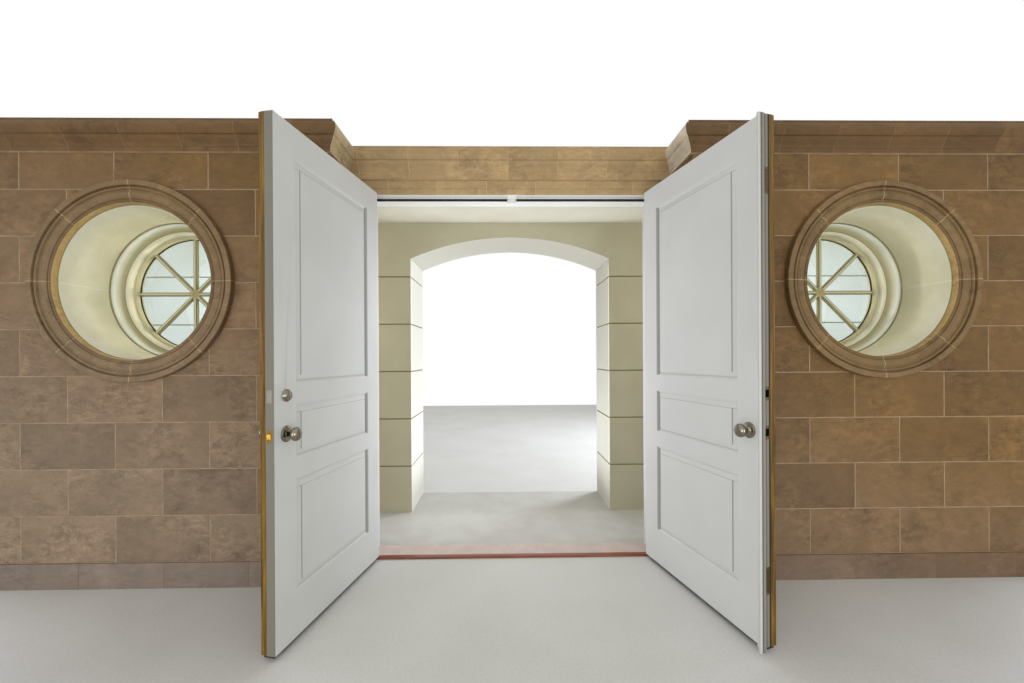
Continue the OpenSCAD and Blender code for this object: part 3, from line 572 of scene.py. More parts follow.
# %% Metals, rubber and glass
def worked_metal(name, body, wear_and_light, gloss, upper=None):
    """Solid metal: polished or satin, with handling marks that change the gloss more than the colour.
    Gloss is the roughness where it is bright and where it is marked. Upper is a second metal above a
    height, for two plates in one node: (height, body, worn)."""
    material, tree, shader, place = start_finish(name, Metallic=1.0)
    marks = add_node(tree, "ShaderNodeTexNoise", {
        "Vector": place, "Scale": per_size(3), "Detail": 4.0}).outputs[0]
    metal = colour_steps(tree, marks, [(0.35, wear_and_light), (0.6, body)])
    if upper:
        parting, upper_body, upper_worn = upper
        height = add_node(tree, "ShaderNodeSeparateXYZ", {0: place}).outputs[2]
        above = math_in(tree, "GREATER_THAN", height, parting)
        second = colour_steps(tree, marks, [(0.35, upper_worn), (0.6, upper_body)])
        metal = mix_colours(tree, above, metal, second)
    tree.links.new(metal, shader.inputs["Base Color"])
    tree.links.new(ramp_value(tree, marks, 0.3, 0.7, gloss[1], gloss[0]), shader.inputs["Roughness"])
    return material


def moulded_rubber(name, body, dusty):
    """Extruded rubber: almost black, with a grey bloom in places."""
    material, tree, shader, place = start_finish(name, Roughness=0.75, Specular_IOR_Level=0.35)
    bloom = add_node(tree, "ShaderNodeTexNoise", {
        "Vector": place, "Scale": per_size(40), "Detail": 3.0}).outputs[0]
    tree.links.new(colour_steps(tree, bloom, [(0.45, body), (0.75, dusty)]), shader.inputs["Base Color"])
    raise_surface(tree, shader, bloom, 0.2, 0.3)
    return material


def clear_glass(name, tint):
    """Float glass: clear, with a breath of green and the faintest waviness from the float bath."""
    material, tree, shader, place = start_finish(
        name, Base_Color=srgb(tint), Roughness=0.0, IOR=1.5, Transmission_Weight=1.0)
    wave = add_node(tree, "ShaderNodeTexNoise", {
        "Vector": place, "Scale": per_size(350), "Detail": 1.0}).outputs[0]
    raise_surface(tree, shader, wave, 0.2, 0.05)
    return material


# the polished nickel is coloured dark as a painted reflection of a dim room
nickel = worked_metal("nickel_polished", "#989184", "#7b7466", (0.13, 0.26))
satin_nickel = worked_metal("nickel_satin_plate", "#8f8a7d", "#756f63", (0.3, 0.45))
worn_bronze = worked_metal("bronze_worn_plate", "#6d5b45", "#4c3d33", (0.34, 0.5))
brass = worked_metal("brass_latch_worn", "#b08c3e", "#7d5c1e", (0.22, 0.42))
edge_plates = worked_metal("plates_brass_and_nickel", "#b08c3e", "#7d5c1e", (0.24, 0.42),
                           (mm(1095), "#a9a59a", "#8c877c"))
seal_rubber = moulded_rubber("rubber_seal_black", "#1b1b1a", "#3a3a38")
olive_sealant = moulded_rubber("sealant_olive_bead", "#857c58", "#989069")
window_glass = clear_glass("glass_float_clear", "#dbe8f4")
print("metals, rubber and glass ready")

# %% [markdown]
# ## Helpers for shapes
# Most of the stonework is one outline carried along a line: a cornice, a base course, a ring.
# So one helper skins a closed outline through a row of stations, and the rest only decide where
# the stations are. Each solid is closed, and its faces are turned outwards once it is whole. Curved work
# is shaded smooth, apart from edges that are sharper than a few dozen degrees.

# %% Mesh helpers
moulding_angle, ring_angle, turned_angle = 30, 28, 35


def skin(bm, stations, closed=False, tone=0.5):
    """Skins a closed outline through its stations; an open run gets end caps. Tone marks the stone."""
    block = bm.faces.layers.float.get("block") or bm.faces.layers.float.new("block")
    rows = [[bm.verts.new(point) for point in station] for station in stations]
    pairs = list(zip(rows, rows[1:])) + ([(rows[-1], rows[0])] if closed else [])
    faces = []
    for first, second in pairs:
        for i in range(len(first)):
            j = (i + 1) % len(first)
            faces.append(bm.faces.new((first[i], first[j], second[j], second[i])))
    if not closed:
        faces += [bm.faces.new(rows[0][::-1]), bm.faces.new(rows[-1])]
    for face in faces:
        face[block] = tone


def soft_shading(mesh, smooth_angle):
    """Shades a mesh smooth, but for the edges that are sharper than the angle in degrees."""
    mesh.shade_smooth()
    mesh.set_sharp_from_angle(angle=math.radians(smooth_angle))


def make_piece(name, bm, material, smooth_angle=None):
    """Turns a bmesh into an object at the origin, with outward faces, and softens curved parts."""
    bmesh.ops.recalc_face_normals(bm, faces=bm.faces)
    mesh = bpy.data.meshes.new(name)
    bm.to_mesh(mesh)
    bm.free()
    mesh.materials.append(material)
    if smooth_angle:
        soft_shading(mesh, smooth_angle)
    piece = bpy.data.objects.new(name, mesh)
    bpy.context.scene.collection.objects.link(piece)
    return piece


print("shapes can be skinned; mouldings stay crisp above", moulding_angle, "degrees")

# %% Helpers that finish a piece
def make_plain(piece, modifier):
    """Gives the piece the plain mesh that its modifier makes of it, and takes the modifier away."""
    bpy.context.view_layer.update()
    evaluated = piece.evaluated_get(bpy.context.evaluated_depsgraph_get())
    plain = bpy.data.meshes.new_from_object(evaluated)
    piece.modifiers.remove(modifier)
    piece.data = plain


def settle(piece, body, slot, *nodes):
    """Rides a piece on its body and hides the CAD nodes that it stands for. The slot is not used."""
    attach(piece, body)
    if nodes:
        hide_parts(*nodes)
    piece.data.calc_loop_triangles()
    print(piece.name, "on", body, "triangles", len(piece.data.loop_triangles))


def repeatable(seed):
    """A small fixed series of numbers from 0 to 1, the same on every run."""
    while True:
        seed = (seed * 16807) % 2147483647
        yield seed / 2147483647


print("piece helpers ready")

# %% [markdown]
# ## Stones along a line
# A base course or a cornice is set out in plan as a line with corners, and cut into stones by joints.
# At a corner the moulding mitres, which means that its outline leans out along the bisector.
# A stone may run round the corner, as a mason's quoin does. Thin slabs of mortar fill the joints, a
# little less than a millimetre behind the face.

# %% Plan lines
mortar_sink = mm(0.8)
joint_width = mm(4.4)


def plan_station(path, side, distance):
    """Point at a distance along a plan path, and the way its outline moves outwards there."""
    travelled = 0.0
    for index, (start, end) in enumerate(zip(path, path[1:])):
        length = (end - start).length
        if distance <= travelled + length + 1e-6:
            break
        travelled += length
    along = (end - start).normalized()
    out = Vector((along.y, -along.x)) * side
    point = start + along * (distance - travelled)
    at_end = abs(distance - travelled - length) < 1e-6
    if at_end and index + 2 < len(path):
        turned = (path[index + 2] - end).normalized()
        next_out = Vector((turned.y, -turned.x)) * side
        out = (out + next_out) / (1 + out.dot(next_out))
    return point, out


def outline_at(path, side, distance, profile):
    """The outline, a list of (outwards, height), standing at a distance along the path."""
    point, out = plan_station(path, side, distance)
    return [(point.x + out.x * far, point.y + out.y * far, height) for far, height in profile]


def path_corners(path):
    """Distances of the path's inner corners."""
    total, corners = 0.0, []
    for start, end in zip(path, path[1:]):
        total += (end - start).length
        corners.append(total)
    return corners[:-1]


print("joints are", joint_width, "m wide")

# %% Stones along a plan line
def stones_along(bm, joints_bm, path, side, profile, cuts, tones):
    """Cuts a moulding along a path into stones at the given distances, with mortar between them."""
    corners = path_corners(path)
    sunk = [(far - mortar_sink if far > 0 else far, height) for far, height in profile]
    for number, (start, end) in enumerate(zip(cuts, cuts[1:])):
        first = start if number == 0 else start + joint_width / 2
        last = end if number == len(cuts) - 2 else end - joint_width / 2
        stops = [first] + [c for c in corners if first + 1e-4 < c < last - 1e-4] + [last]
        skin(bm, [outline_at(path, side, stop, profile) for stop in stops], tone=next(tones))
        if number:
            filled = (start - joint_width / 2, start + joint_width / 2)
            skin(joints_bm, [outline_at(path, side, stop, sunk) for stop in filled])


def side_path(side):
    """Plan line of one side: from the door frame, round the recess corner, to the end of the wall."""
    return [Vector((side * x, y)) for x, y in (
        (jamb_back, 0.0), (half_recess, 0.0), (half_recess, room_face), (wall_end, room_face))]


strip_width = half_recess - jamb_back
corner_at = strip_width - room_face
path_length = corner_at + wall_end - half_recess
print("plan line of one side:", round(path_length, 3), "m, corner at", round(corner_at, 3))

# %% [markdown]
# ## Coursed ashlar
# The wall is faced with sawn blocks in running bond: every course starts half a block along from the one
# below. Placing sixty blocks a side by hand would be slow and never even, so a Geometry Nodes tree lays
# them: a grid gives one face for each block, every second course slides by half a block, faces are
# trimmed at the ends of the run, drawn back for the joints, and pulled out into blocks with a small arris.

# %% Geometry Nodes helpers
def start_tree(name, inputs):
    """A geometry tree with named inputs; returns the tree and its input sockets."""
    tree = bpy.data.node_groups.new(name, "GeometryNodeTree")
    tree.interface.new_socket("Geometry", in_out="OUTPUT", socket_type="NodeSocketGeometry")
    for label, kind in inputs:
        tree.interface.new_socket(label, in_out="INPUT", socket_type="NodeSocket" + kind)
    return tree, add_node(tree, "NodeGroupInput").outputs


def end_tree(tree, geometry, material):
    """Every tree ends in Realize Instances and Set Material."""
    real = add_node(tree, "GeometryNodeRealizeInstances", {0: geometry}).outputs[0]
    dressed = add_node(tree, "GeometryNodeSetMaterial", {"Geometry": real, "Material": material})
    add_node(tree, "NodeGroupOutput", {0: dressed.outputs[0]})
    return tree


def grow(name, tree, smooth_angle=None, **values):
    """Runs a tree with its inputs set, and returns the result as a plain mesh object."""
    piece = bpy.data.objects.new(name, bpy.data.meshes.new(name))
    bpy.context.scene.collection.objects.link(piece)
    modifier = piece.modifiers.new("grow", "NODES")
    modifier.node_group = tree
    for item in tree.interface.items_tree:
        key = item.name.lower().replace(" ", "_")
        if item.in_out == "INPUT" and key in values:
            modifier[item.identifier] = values[key]
    make_plain(piece, modifier)
    piece.data.name = name
    if smooth_angle:
        soft_shading(piece.data, smooth_angle)
    return piece


print("geometry helpers ready")

# %% The tree that lays ashlar
def ashlar_tree():
    """Running bond along X, standing up along Z, with its face towards -Y at Y = 0."""
    tree, given = start_tree("lay_ashlar", [
        ("Run Start", "Float"), ("Run End", "Float"), ("Bottom", "Float"), ("Top", "Float"),
        ("First Joint", "Float"), ("Block Length", "Float"), ("Course Height", "Float"),
        ("Columns", "Int"), ("Courses", "Int"), ("Joint", "Float"), ("Arris", "Float"), ("Depth", "Float"),
        ("Start Mitre", "Float"), ("End Mitre", "Float"), ("Seed", "Int"), ("Material", "Material")])
    wide = math_in(tree, "MULTIPLY", given["Columns"], given["Block Length"])
    tall = math_in(tree, "MULTIPLY", given["Courses"], given["Course Height"])
    grid = add_node(tree, "GeometryNodeMeshGrid", {
        "Size X": wide, "Size Y": tall,
        "Vertices X": math_in(tree, "ADD", given["Columns"], 1.0),
        "Vertices Y": math_in(tree, "ADD", given["Courses"], 1.0)}).outputs[0]
    middle = add_node(tree, "ShaderNodeCombineXYZ", {
        0: math_in(tree, "MULTIPLY_ADD", wide, 0.5, given["First Joint"]),
        2: math_in(tree, "MULTIPLY_ADD", tall, 0.5, given["Bottom"])}).outputs[0]
    upright = add_node(tree, "GeometryNodeTransform", {
        "Geometry": grid, "Translation": middle, "Rotation": (math.pi / 2, 0.0, 0.0)}).outputs[0]
    loose = add_node(tree, "GeometryNodeSplitEdges", {0: upright}).outputs[0]

    place = add_node(tree, "GeometryNodeInputPosition").outputs[0]
    here = add_node(tree, "ShaderNodeSeparateXYZ", {0: place}).outputs
    centre = add_node(tree, "GeometryNodeFieldOnDomain", {0: place},
                      domain="FACE", data_type="FLOAT_VECTOR").outputs[0]
    face = add_node(tree, "ShaderNodeSeparateXYZ", {0: centre}).outputs
    course = math_in(tree, "FLOOR", math_in(
        tree, "DIVIDE", math_in(tree, "SUBTRACT", face[2], given["Bottom"]), given["Course Height"]))
    column = math_in(tree, "FLOOR", math_in(tree, "DIVIDE", face[0], given["Block Length"]))
    number = math_in(tree, "MULTIPLY_ADD", course, 131.0, column)
    dice = add_node(tree, "FunctionNodeRandomValue", {
        2: 0.0, 3: 1.0, 7: number, 8: given["Seed"]}, data_type="FLOAT")
    toned = add_node(tree, "GeometryNodeStoreNamedAttribute", {
        "Geometry": loose, "Name": "block", "Value": dice.outputs[1]},
        data_type="FLOAT", domain="FACE").outputs[0]

    odd = math_in(tree, "FLOORED_MODULO", course, 2.0)
    slide = math_in(tree, "MULTIPLY", math_in(tree, "MULTIPLY", odd, 0.5), given["Block Length"])
    slid = math_in(tree, "ADD", here[0], slide)
    trimmed_x = math_in(tree, "MAXIMUM", slid, given["Run Start"])
    trimmed_x = math_in(tree, "MINIMUM", trimmed_x, given["Run End"])
    trimmed_z = math_in(tree, "MINIMUM", here[2], given["Top"])
    trimmed = add_node(tree, "ShaderNodeCombineXYZ", {0: trimmed_x, 1: 0.0, 2: trimmed_z}).outputs[0]
    laid = add_node(tree, "GeometryNodeSetPosition", {"Geometry": toned, "Position": trimmed}).outputs[0]
    area = add_node(tree, "GeometryNodeInputMeshFaceArea").outputs[0]
    kept = add_node(tree, "GeometryNodeDeleteGeometry", {
        "Geometry": laid, "Selection": math_in(tree, "LESS_THAN", area, 1e-5)}, domain="FACE").outputs[0]

    at_start = math_in(tree, "COMPARE", here[0], given["Run Start"], 1e-4)
    at_end = math_in(tree, "COMPARE", here[0], given["Run End"], 1e-4)
    inside = math_in(tree, "SUBTRACT", 1.0, math_in(tree, "ADD", at_start, at_end))
    toward_x = math_in(tree, "SIGN", math_in(tree, "SUBTRACT", face[0], here[0]))
    toward_x = math_in(tree, "MULTIPLY", toward_x, inside)
    toward_z = math_in(tree, "SIGN", math_in(tree, "SUBTRACT", face[2], here[2]))
    half_joint = math_in(tree, "MULTIPLY", given["Joint"], 0.5)
    drawn_back = add_node(tree, "ShaderNodeCombineXYZ", {
        0: math_in(tree, "MULTIPLY", toward_x, half_joint), 1: given["Depth"],
        2: math_in(tree, "MULTIPLY", toward_z, half_joint)}).outputs[0]
    backs = add_node(tree, "GeometryNodeSetPosition", {"Geometry": kept, "Offset": drawn_back}).outputs[0]
    body = add_node(tree, "GeometryNodeExtrudeMesh", {
        "Mesh": backs, "Offset": (0.0, -1.0, 0.0),
        "Offset Scale": math_in(tree, "SUBTRACT", given["Depth"], given["Arris"]), "Individual": True})
    faced = add_node(tree, "GeometryNodeExtrudeMesh", {
        "Mesh": body.outputs[0], "Selection": body.outputs[1], "Offset": (0.0, -1.0, 0.0),
        "Offset Scale": given["Arris"], "Individual": True})
    arris = add_node(tree, "ShaderNodeCombineXYZ", {
        0: math_in(tree, "MULTIPLY", toward_x, given["Arris"]), 1: 0.0,
        2: math_in(tree, "MULTIPLY", toward_z, given["Arris"])}).outputs[0]
    softened = add_node(tree, "GeometryNodeSetPosition", {
        "Geometry": faced.outputs[0], "Selection": faced.outputs[1], "Offset": arris}).outputs[0]
    closing = add_node(tree, "GeometryNodeFlipFaces", {0: backs}).outputs[0]
    joined = add_node(tree, "GeometryNodeJoinGeometry")
    tree.links.new(softened, joined.inputs[0])
    tree.links.new(closing, joined.inputs[0])
    solid = add_node(tree, "GeometryNodeMergeByDistance", {
        "Geometry": joined.outputs[0], "Distance": 1e-5}).outputs[0]

    lean = math_in(tree, "MULTIPLY_ADD", at_end, given["End Mitre"],
                   math_in(tree, "MULTIPLY", at_start, given["Start Mitre"]))
    deep = math_in(tree, "GREATER_THAN", here[1], math_in(tree, "SUBTRACT", given["Depth"], 1e-4))
    mitred = add_node(tree, "GeometryNodeSetPosition", {
        "Geometry": solid, "Selection": deep,
        "Offset": add_node(tree, "ShaderNodeCombineXYZ", {0: lean}).outputs[0]}).outputs[0]
    return end_tree(tree, mitred, given["Material"])


lay_ashlar = ashlar_tree()
print("ashlar tree:", len(lay_ashlar.nodes), "nodes")

# %% [markdown]
# ## Lay the two walls
# The bond is set out from the recess corner and carried round it, so a block that meets the corner
# shows one face to the room and one to the recess, with the same tone and pattern on both.
# The round hole behind the ring is cut afterwards, where the ring hides the cut. A bed of mortar lies
# behind the blocks and fills the joints, a little behind their faces.

# %% Bond of the ashlar
block_length = mm(554)
course_height = mm(277)
first_joint = mm(1254) - half_recess
stone_arris = mm(1.6)


def cut_window_hole(piece, side):
    """Cuts the round window hole through a piece, as wide as the outside of the tunnel's lining."""
    bm = bmesh.new()
    steps = 128
    ring = [(side * window_x + lining_radius * math.cos(2 * math.pi * i / steps),
             window_z + lining_radius * math.sin(2 * math.pi * i / steps)) for i in range(steps)]
    skin(bm, [[(x, y, z) for x, z in ring] for y in (room_face - mm(50), room_face + mm(100))])
    cutter = make_piece("window_cutter", bm, wall_stone)
    cut = piece.modifiers.new("hole", "BOOLEAN")
    cut.operation, cut.solver, cut.object = "DIFFERENCE", "EXACT", cutter
    make_plain(piece, cut)
    bpy.data.objects.remove(cutter)


def lay_run(name, start, end, start_mitre, end_mitre, seed, top):
    """One straight run of ashlar, measured from the recess corner."""
    first = first_joint - block_length * math.ceil((first_joint - start) / block_length + 1)
    return grow(name, lay_ashlar, run_start=start, run_end=end, bottom=base_top, top=top,
                first_joint=first, block_length=block_length, course_height=course_height,
                columns=math.ceil((end - first) / block_length) + 1,
                courses=math.ceil((cornice_low - base_top) / course_height),
                joint=joint_width, arris=stone_arris, depth=stone_depth,
                start_mitre=start_mitre, end_mitre=end_mitre, seed=seed, material=wall_stone)


def place_run(piece, matrix):
    """Puts the mesh of a run where it belongs, and keeps its faces outward if the move mirrors it."""
    piece.data.transform(matrix)
    if matrix.determinant() < 0:
        piece.data.flip_normals()


print("blocks are", block_length, "m long and", course_height, "m high")

# %% Lay the blocks of each side
def ashlar_side(side, label, seed):
    """The front face, the side of the recess and the strip beside the door frame, joined."""
    mirror = Matrix.Diagonal((side, 1.0, 1.0, 1.0))
    front = lay_run("front", 0.0, wall_end - half_recess, stone_depth, 0.0, seed, cornice_low)
    place_run(front, mirror @ Matrix.Translation((half_recess, room_face, 0.0)))
    cut_window_hole(front, side)
    cheek = lay_run("cheek", room_face, 0.0, -stone_depth, -stone_depth, seed, cornice_low)
    turn = Matrix(((0, 1, 0, half_recess), (-1, 0, 0, room_face), (0, 0, 1, 0), (0, 0, 0, 1)))
    place_run(cheek, mirror @ turn)
    strip = lay_run("strip", room_face - strip_width, room_face, 0.0, stone_depth, seed, recess_low)
    place_run(strip, mirror @ Matrix.Translation((half_recess - room_face, 0.0, 0.0)))
    bm = bmesh.new()
    for run in (front, cheek, strip):
        bm.from_mesh(run.data)
        bpy.data.objects.remove(run)
    wall = make_piece("ashlar_" + label, bm, wall_stone)
    settle(wall, "entrance", "travertine", "stone_facing_" + label)


for side, label, seed in ((-1, "left", 11), (1, "right", 29)):
    ashlar_side(side, label, seed)

# %% Mortar bed behind the blocks
bed_outline = [(-mortar_sink, base_top), (-mortar_sink, cornice_low),
               (-stone_depth, cornice_low), (-stone_depth, base_top)]
for side, label in sides:
    bm = bmesh.new()
    path = side_path(side)
    stops = [0.0, *path_corners(path), path_length]
    skin(bm, [outline_at(path, side, stop, bed_outline) for stop in stops])
    bed = make_piece("mortar_bed_" + label, bm, joint_mortar)
    cut_window_hole(bed, side)
    settle(bed, "entrance", "travertine", "stone_facing_" + label)

# %% [markdown]
# ## Base course, cornice and the stones over the doors
# These are run mouldings: one outline each, cut into stones about half a metre long at the foot and a third
# of a metre long at the top. The cornice turns the corner into the recess and meets the piece across the back
# in a mitre. The stones over the doors, the recess cornice and the cornice returns are coloured paler as
# painted daylight, and the front run of the cornice darker as painted shade.

# %% Outlines of the mouldings
base_out = room_face - base_front
base_round, base_cut = mm(4), mm(1.5)
base_outline = [
    (-stone_depth, 0.0), (base_out, 0.0), (base_out, base_top - base_round),
    (base_out - base_cut, base_top - base_cut), (base_out - base_round, base_top), (-stone_depth, base_top)]
wave_steps, roll_steps = 12, 16


def cornice_outline():
    """Lower fillet, long S curve, quirk, broad roll, and the neck under the ceiling."""
    points = [(12, 0), (12, 25)]
    for step in range(wave_steps + 1):
        t = step / wave_steps
        points.append((15.5 + 24.5 * (1 - math.cos(math.pi * t)) / 2, 29 + 51 * t))
    points.append((42, 84.5))
    for step in range(roll_steps + 1):
        t = step / roll_steps
        points.append((51 + 14 * math.sin(math.pi * t), 88.5 + 72.5 * t))
    points += [(32, 171), (32, 185)]
    outline = [(mm(out), cornice_low + mm(height)) for out, height in points]
    return [(-stone_depth, cornice_low), *outline, (-stone_depth, outline[-1][1])]


fillet_out = mm(12)
deep_fillet = [(-stone_depth, recess_low), (fillet_out, recess_low),
               (fillet_out, cornice_low), (-stone_depth, cornice_low)]
quirk_low, quirk_sink = lintel_low + mm(28), mm(2.5)
lintel_outline = [
    (-stone_depth, lintel_low), (-stone_arris, lintel_low), (0.0, lintel_low + stone_arris),
    (0.0, quirk_low), (-quirk_sink, quirk_low + mm(0.8)), (-quirk_sink, quirk_low + mm(2.4)),
    (0.0, quirk_low + mm(3.2)), (0.0, recess_low - stone_arris), (-stone_arris, recess_low),
    (-stone_depth, recess_low)]
print("cornice outline points:", len(cornice_outline()))

# %% Cut the base course
shortest_stone = mm(40)


def spaced(first, step, last):
    """Distances from the first by equal steps, as long as the last stone isn't too short."""
    count = int((last - first) / step + 1e-6)
    return [first + step * i for i in range(count + 1) if first + step * i < last - shortest_stone]


def mould_run(name, path, side, outline, cuts, stone, seed, smooth, *nodes):
    """A run of moulded stones and, as a piece of its own, the mortar between them."""
    stones, joints = bmesh.new(), bmesh.new()
    stones_along(stones, joints, path, side, outline, cuts, repeatable(seed))
    settle(make_piece(name, stones, stone, smooth), "entrance", "travertine", *nodes)
    mortar = run_mortar if stone in (shaded_cornice_stone, base_stone) else daylit_mortar
    settle(make_piece(name + "_joints", joints, mortar, smooth), "entrance", "travertine", *nodes)


base_stone_length = mm(497.5)
base_quoin = strip_width + mm(155)
base_first = corner_at + mm(1572) - half_recess
for side, label, seed in ((-1, "left", 211), (1, "right", 307)):
    cuts = [0.0, base_quoin, *spaced(base_first, base_stone_length, path_length), path_length]
    mould_run("base_course_stones_" + label, side_path(side), side, base_outline, cuts, base_stone,
              seed, None, "base_course_" + label)

# %% Cut the cornice
cornice_stone_length = mm(332)
cornice_first = corner_at + mm(1288) - half_recess
return_joint = strip_width + mm(184)
for side, label, seed in ((-1, "left", 401), (1, "right", 503)):
    path = side_path(side)
    cuts = [corner_at, *spaced(cornice_first, cornice_stone_length, path_length), path_length]
    mould_run("cornice_stones_" + label, path, side, cornice_outline(), cuts, shaded_cornice_stone,
              seed, moulding_angle, "cornice_" + label)
    cuts = [strip_width, return_joint, corner_at]
    mould_run("cornice_return_" + label, path, side, cornice_outline(), cuts, daylit_returns[side],
              seed + 9, moulding_angle, "cornice_" + label)

recess_path = [Vector(p) for p in (
    (-half_recess, room_face), (-half_recess, 0.0), (half_recess, 0.0), (half_recess, room_face))]
recess_start = -room_face
recess_middle = recess_start + half_recess - mm(19)
recess_stone_length = mm(333)
inner_cuts = [recess_middle + recess_stone_length * i for i in range(-3, 4)]
cuts = [recess_start, *inner_cuts, recess_start + 2 * half_recess]
mould_run("cornice_stones_recess", recess_path, 1, cornice_outline(), cuts, daylit_stone,
          601, moulding_angle, "cornice_recess")
flat_cuts = [cut - recess_start for cut in cuts]
mould_run("cornice_fillet_recess", recess_path[1:3], 1, deep_fillet, flat_cuts, daylit_stone,
          601, None, "cornice_recess")

# %% Pointing under the cornice
def pointing_run(name, path, side, start, end, height, stone):
    """A small sloping bead of mortar in the corner under a fillet, so that no dark gap shows there."""
    bm = bmesh.new()
    bead = [(0.0, height - mm(5)), (mm(11.4), height), (0.0, height)]
    skin(bm, [outline_at(path, side, stop, bead) for stop in (start, end)])
    settle(make_piece(name, bm, stone), "entrance", "travertine")


for side, label in sides:
    pointing_run("cornice_pointing_" + label, side_path(side), side, corner_at, path_length,
                 cornice_low, joint_mortar)
pointing_run("cornice_pointing_recess", recess_path[1:3], 1, 0.0, 2 * half_recess, recess_low, daylit_stone)

# %% Cut the course over the doors
lintel_path = [Vector((-jamb_back, 0.0)), Vector((jamb_back, 0.0))]
lintel_cuts = [0.0, *[jamb_back + mm(x) for x in (-829, -497, -166, 166, 497, 829)], 2 * jamb_back]
mould_run("course_over_door", lintel_path, 1, lintel_outline, lintel_cuts, daylit_stone,
          701, None, "stone_over_door")

# %% [markdown]
# ## Moulded rings round the windows
# Each ring is eight equal stones, worked to one moulding: an inner lip, a small bead, a broad hollow roll,
# a second bead, a deep groove that draws the dark line, and a plain outer band. One stone is modelled, and
# a tree repeats it about the centre. The same tree repeats the mortar slabs, the window bars and anything
# else that goes round a centre.

# %% The tree that repeats a piece about a centre
def round_tree():
    """Repeats one piece about an axis along Y, each copy with its own number for the stone pattern."""
    tree, given = start_tree("repeat_round", [
        ("Piece", "Object"), ("Count", "Int"), ("First Turn", "Float"), ("Centre", "Vector"),
        ("Seed", "Int"), ("Material", "Material")])
    spots = add_node(tree, "GeometryNodeMeshLine", {
        "Count": given["Count"], "Offset": (0.0, 0.0, 0.0)}).outputs[0]
    piece = add_node(tree, "GeometryNodeObjectInfo", {"Object": given["Piece"]}).outputs["Geometry"]
    index = add_node(tree, "GeometryNodeInputIndex").outputs[0]
    step = math_in(tree, "DIVIDE", 2 * math.pi, given["Count"])
    turn = math_in(tree, "MULTIPLY_ADD", index, step, given["First Turn"])
    spin = add_node(tree, "ShaderNodeCombineXYZ", {1: turn}).outputs[0]
    copies = add_node(tree, "GeometryNodeInstanceOnPoints", {
        "Points": spots, "Instance": piece, "Rotation": spin}).outputs[0]
    dice = add_node(tree, "FunctionNodeRandomValue", {
        2: 0.0, 3: 1.0, 7: index, 8: given["Seed"]}, data_type="FLOAT")
    toned = add_node(tree, "GeometryNodeStoreNamedAttribute", {
        "Geometry": copies, "Name": "block", "Value": dice.outputs[1]},
        data_type="FLOAT", domain="INSTANCE").outputs[0]
    real = add_node(tree, "GeometryNodeRealizeInstances", {0: toned}).outputs[0]
    moved = add_node(tree, "GeometryNodeTransform", {
        "Geometry": real, "Translation": given["Centre"]}).outputs[0]
    return end_tree(tree, moved, given["Material"])


repeat_round = round_tree()


def repeat_about(name, template, count, centre, material, first_turn=0.0, seed=1, smooth=None):
    """Runs the tree on a template."""
    return grow(name, repeat_round, smooth, piece=template, count=count, first_turn=first_turn,
                centre=centre, seed=seed, material=material)


def drop(*templates):
    """Removes templates once their copies are made."""
    for template in templates:
        bpy.data.objects.remove(template)


print("round tree:", len(repeat_round.nodes), "nodes")

# %% Outline of a ring stone
def swelling(start, end, low_start, low_end, rise, steps):
    """A round member between two radii: half a wave that stands on a slightly sloping line."""
    return [(start + (end - start) * i / steps,
             low_start + (low_end - low_start) * i / steps + rise * math.sin(math.pi * i / steps))
            for i in range(steps + 1)]


def ring_outline(sunk=0.0):
    """(radius, how far out of the wall): lip, small bead, broad roll, bead, groove, outer band, sleeve."""
    lip, outer = opening_radius * 1000 + 7, ring_radius * 1000
    points = [(lip, 11), (lip + 2, 14), (lip + 6, 14), (lip + 8, 11), (lip + 10, 11)]
    points += swelling(lip + 11, lip + 20, 12, 13, 5, 8)
    points += [(lip + 21, 11), (lip + 24, 11)]
    points += swelling(lip + 25, outer - 65, 17, 22, 7, 16)
    points += [(outer - 63, 19), (outer - 57, 19)]
    points += swelling(outer - 55, outer - 42, 25, 28, 5, 8)
    points += [(outer - 40, 18), (outer - 34, 18), (outer - 32, 34), (outer - 30, 36),
               (outer - 3, 36), (outer, 33)]
    face = [(mm(max(radius, lip + sunk)), mm(out - sunk)) for radius, out in points]
    hidden = [(ring_radius - mm(sunk), 0.0), (lining_radius, 0.0), (lining_radius, -ring_sleeve),
              (mm(lip + sunk), -ring_sleeve)]
    return [*face, *hidden]


print("ring outline points:", len(ring_outline()))

# %% Cut and set the rings
def ring_slab(bm, outline, half_angle, trim, steps):
    """One stone of a ring, or a slab of mortar: the outline carried round by twice the half angle."""
    stations = []
    for step in range(steps + 1):
        share = 2 * step / steps - 1
        station = []
        for radius, out in outline:
            angle = share * (half_angle - trim / radius)
            station.append((radius * math.sin(angle), -out, radius * math.cos(angle)))
        stations.append(station)
    skin(bm, stations)
    # faces of the inner edge, which get the painted light of the ring's paler gold
    reveal = bm.faces.layers.float.get("reveal") or bm.faces.layers.float.new("reveal")
    edge = opening_radius + lip_reach
    for face in bm.faces:
        inner = all(math.hypot(v.co.x, v.co.z) < edge for v in face.verts)
        face[reveal] = 1.0 if inner else 0.0


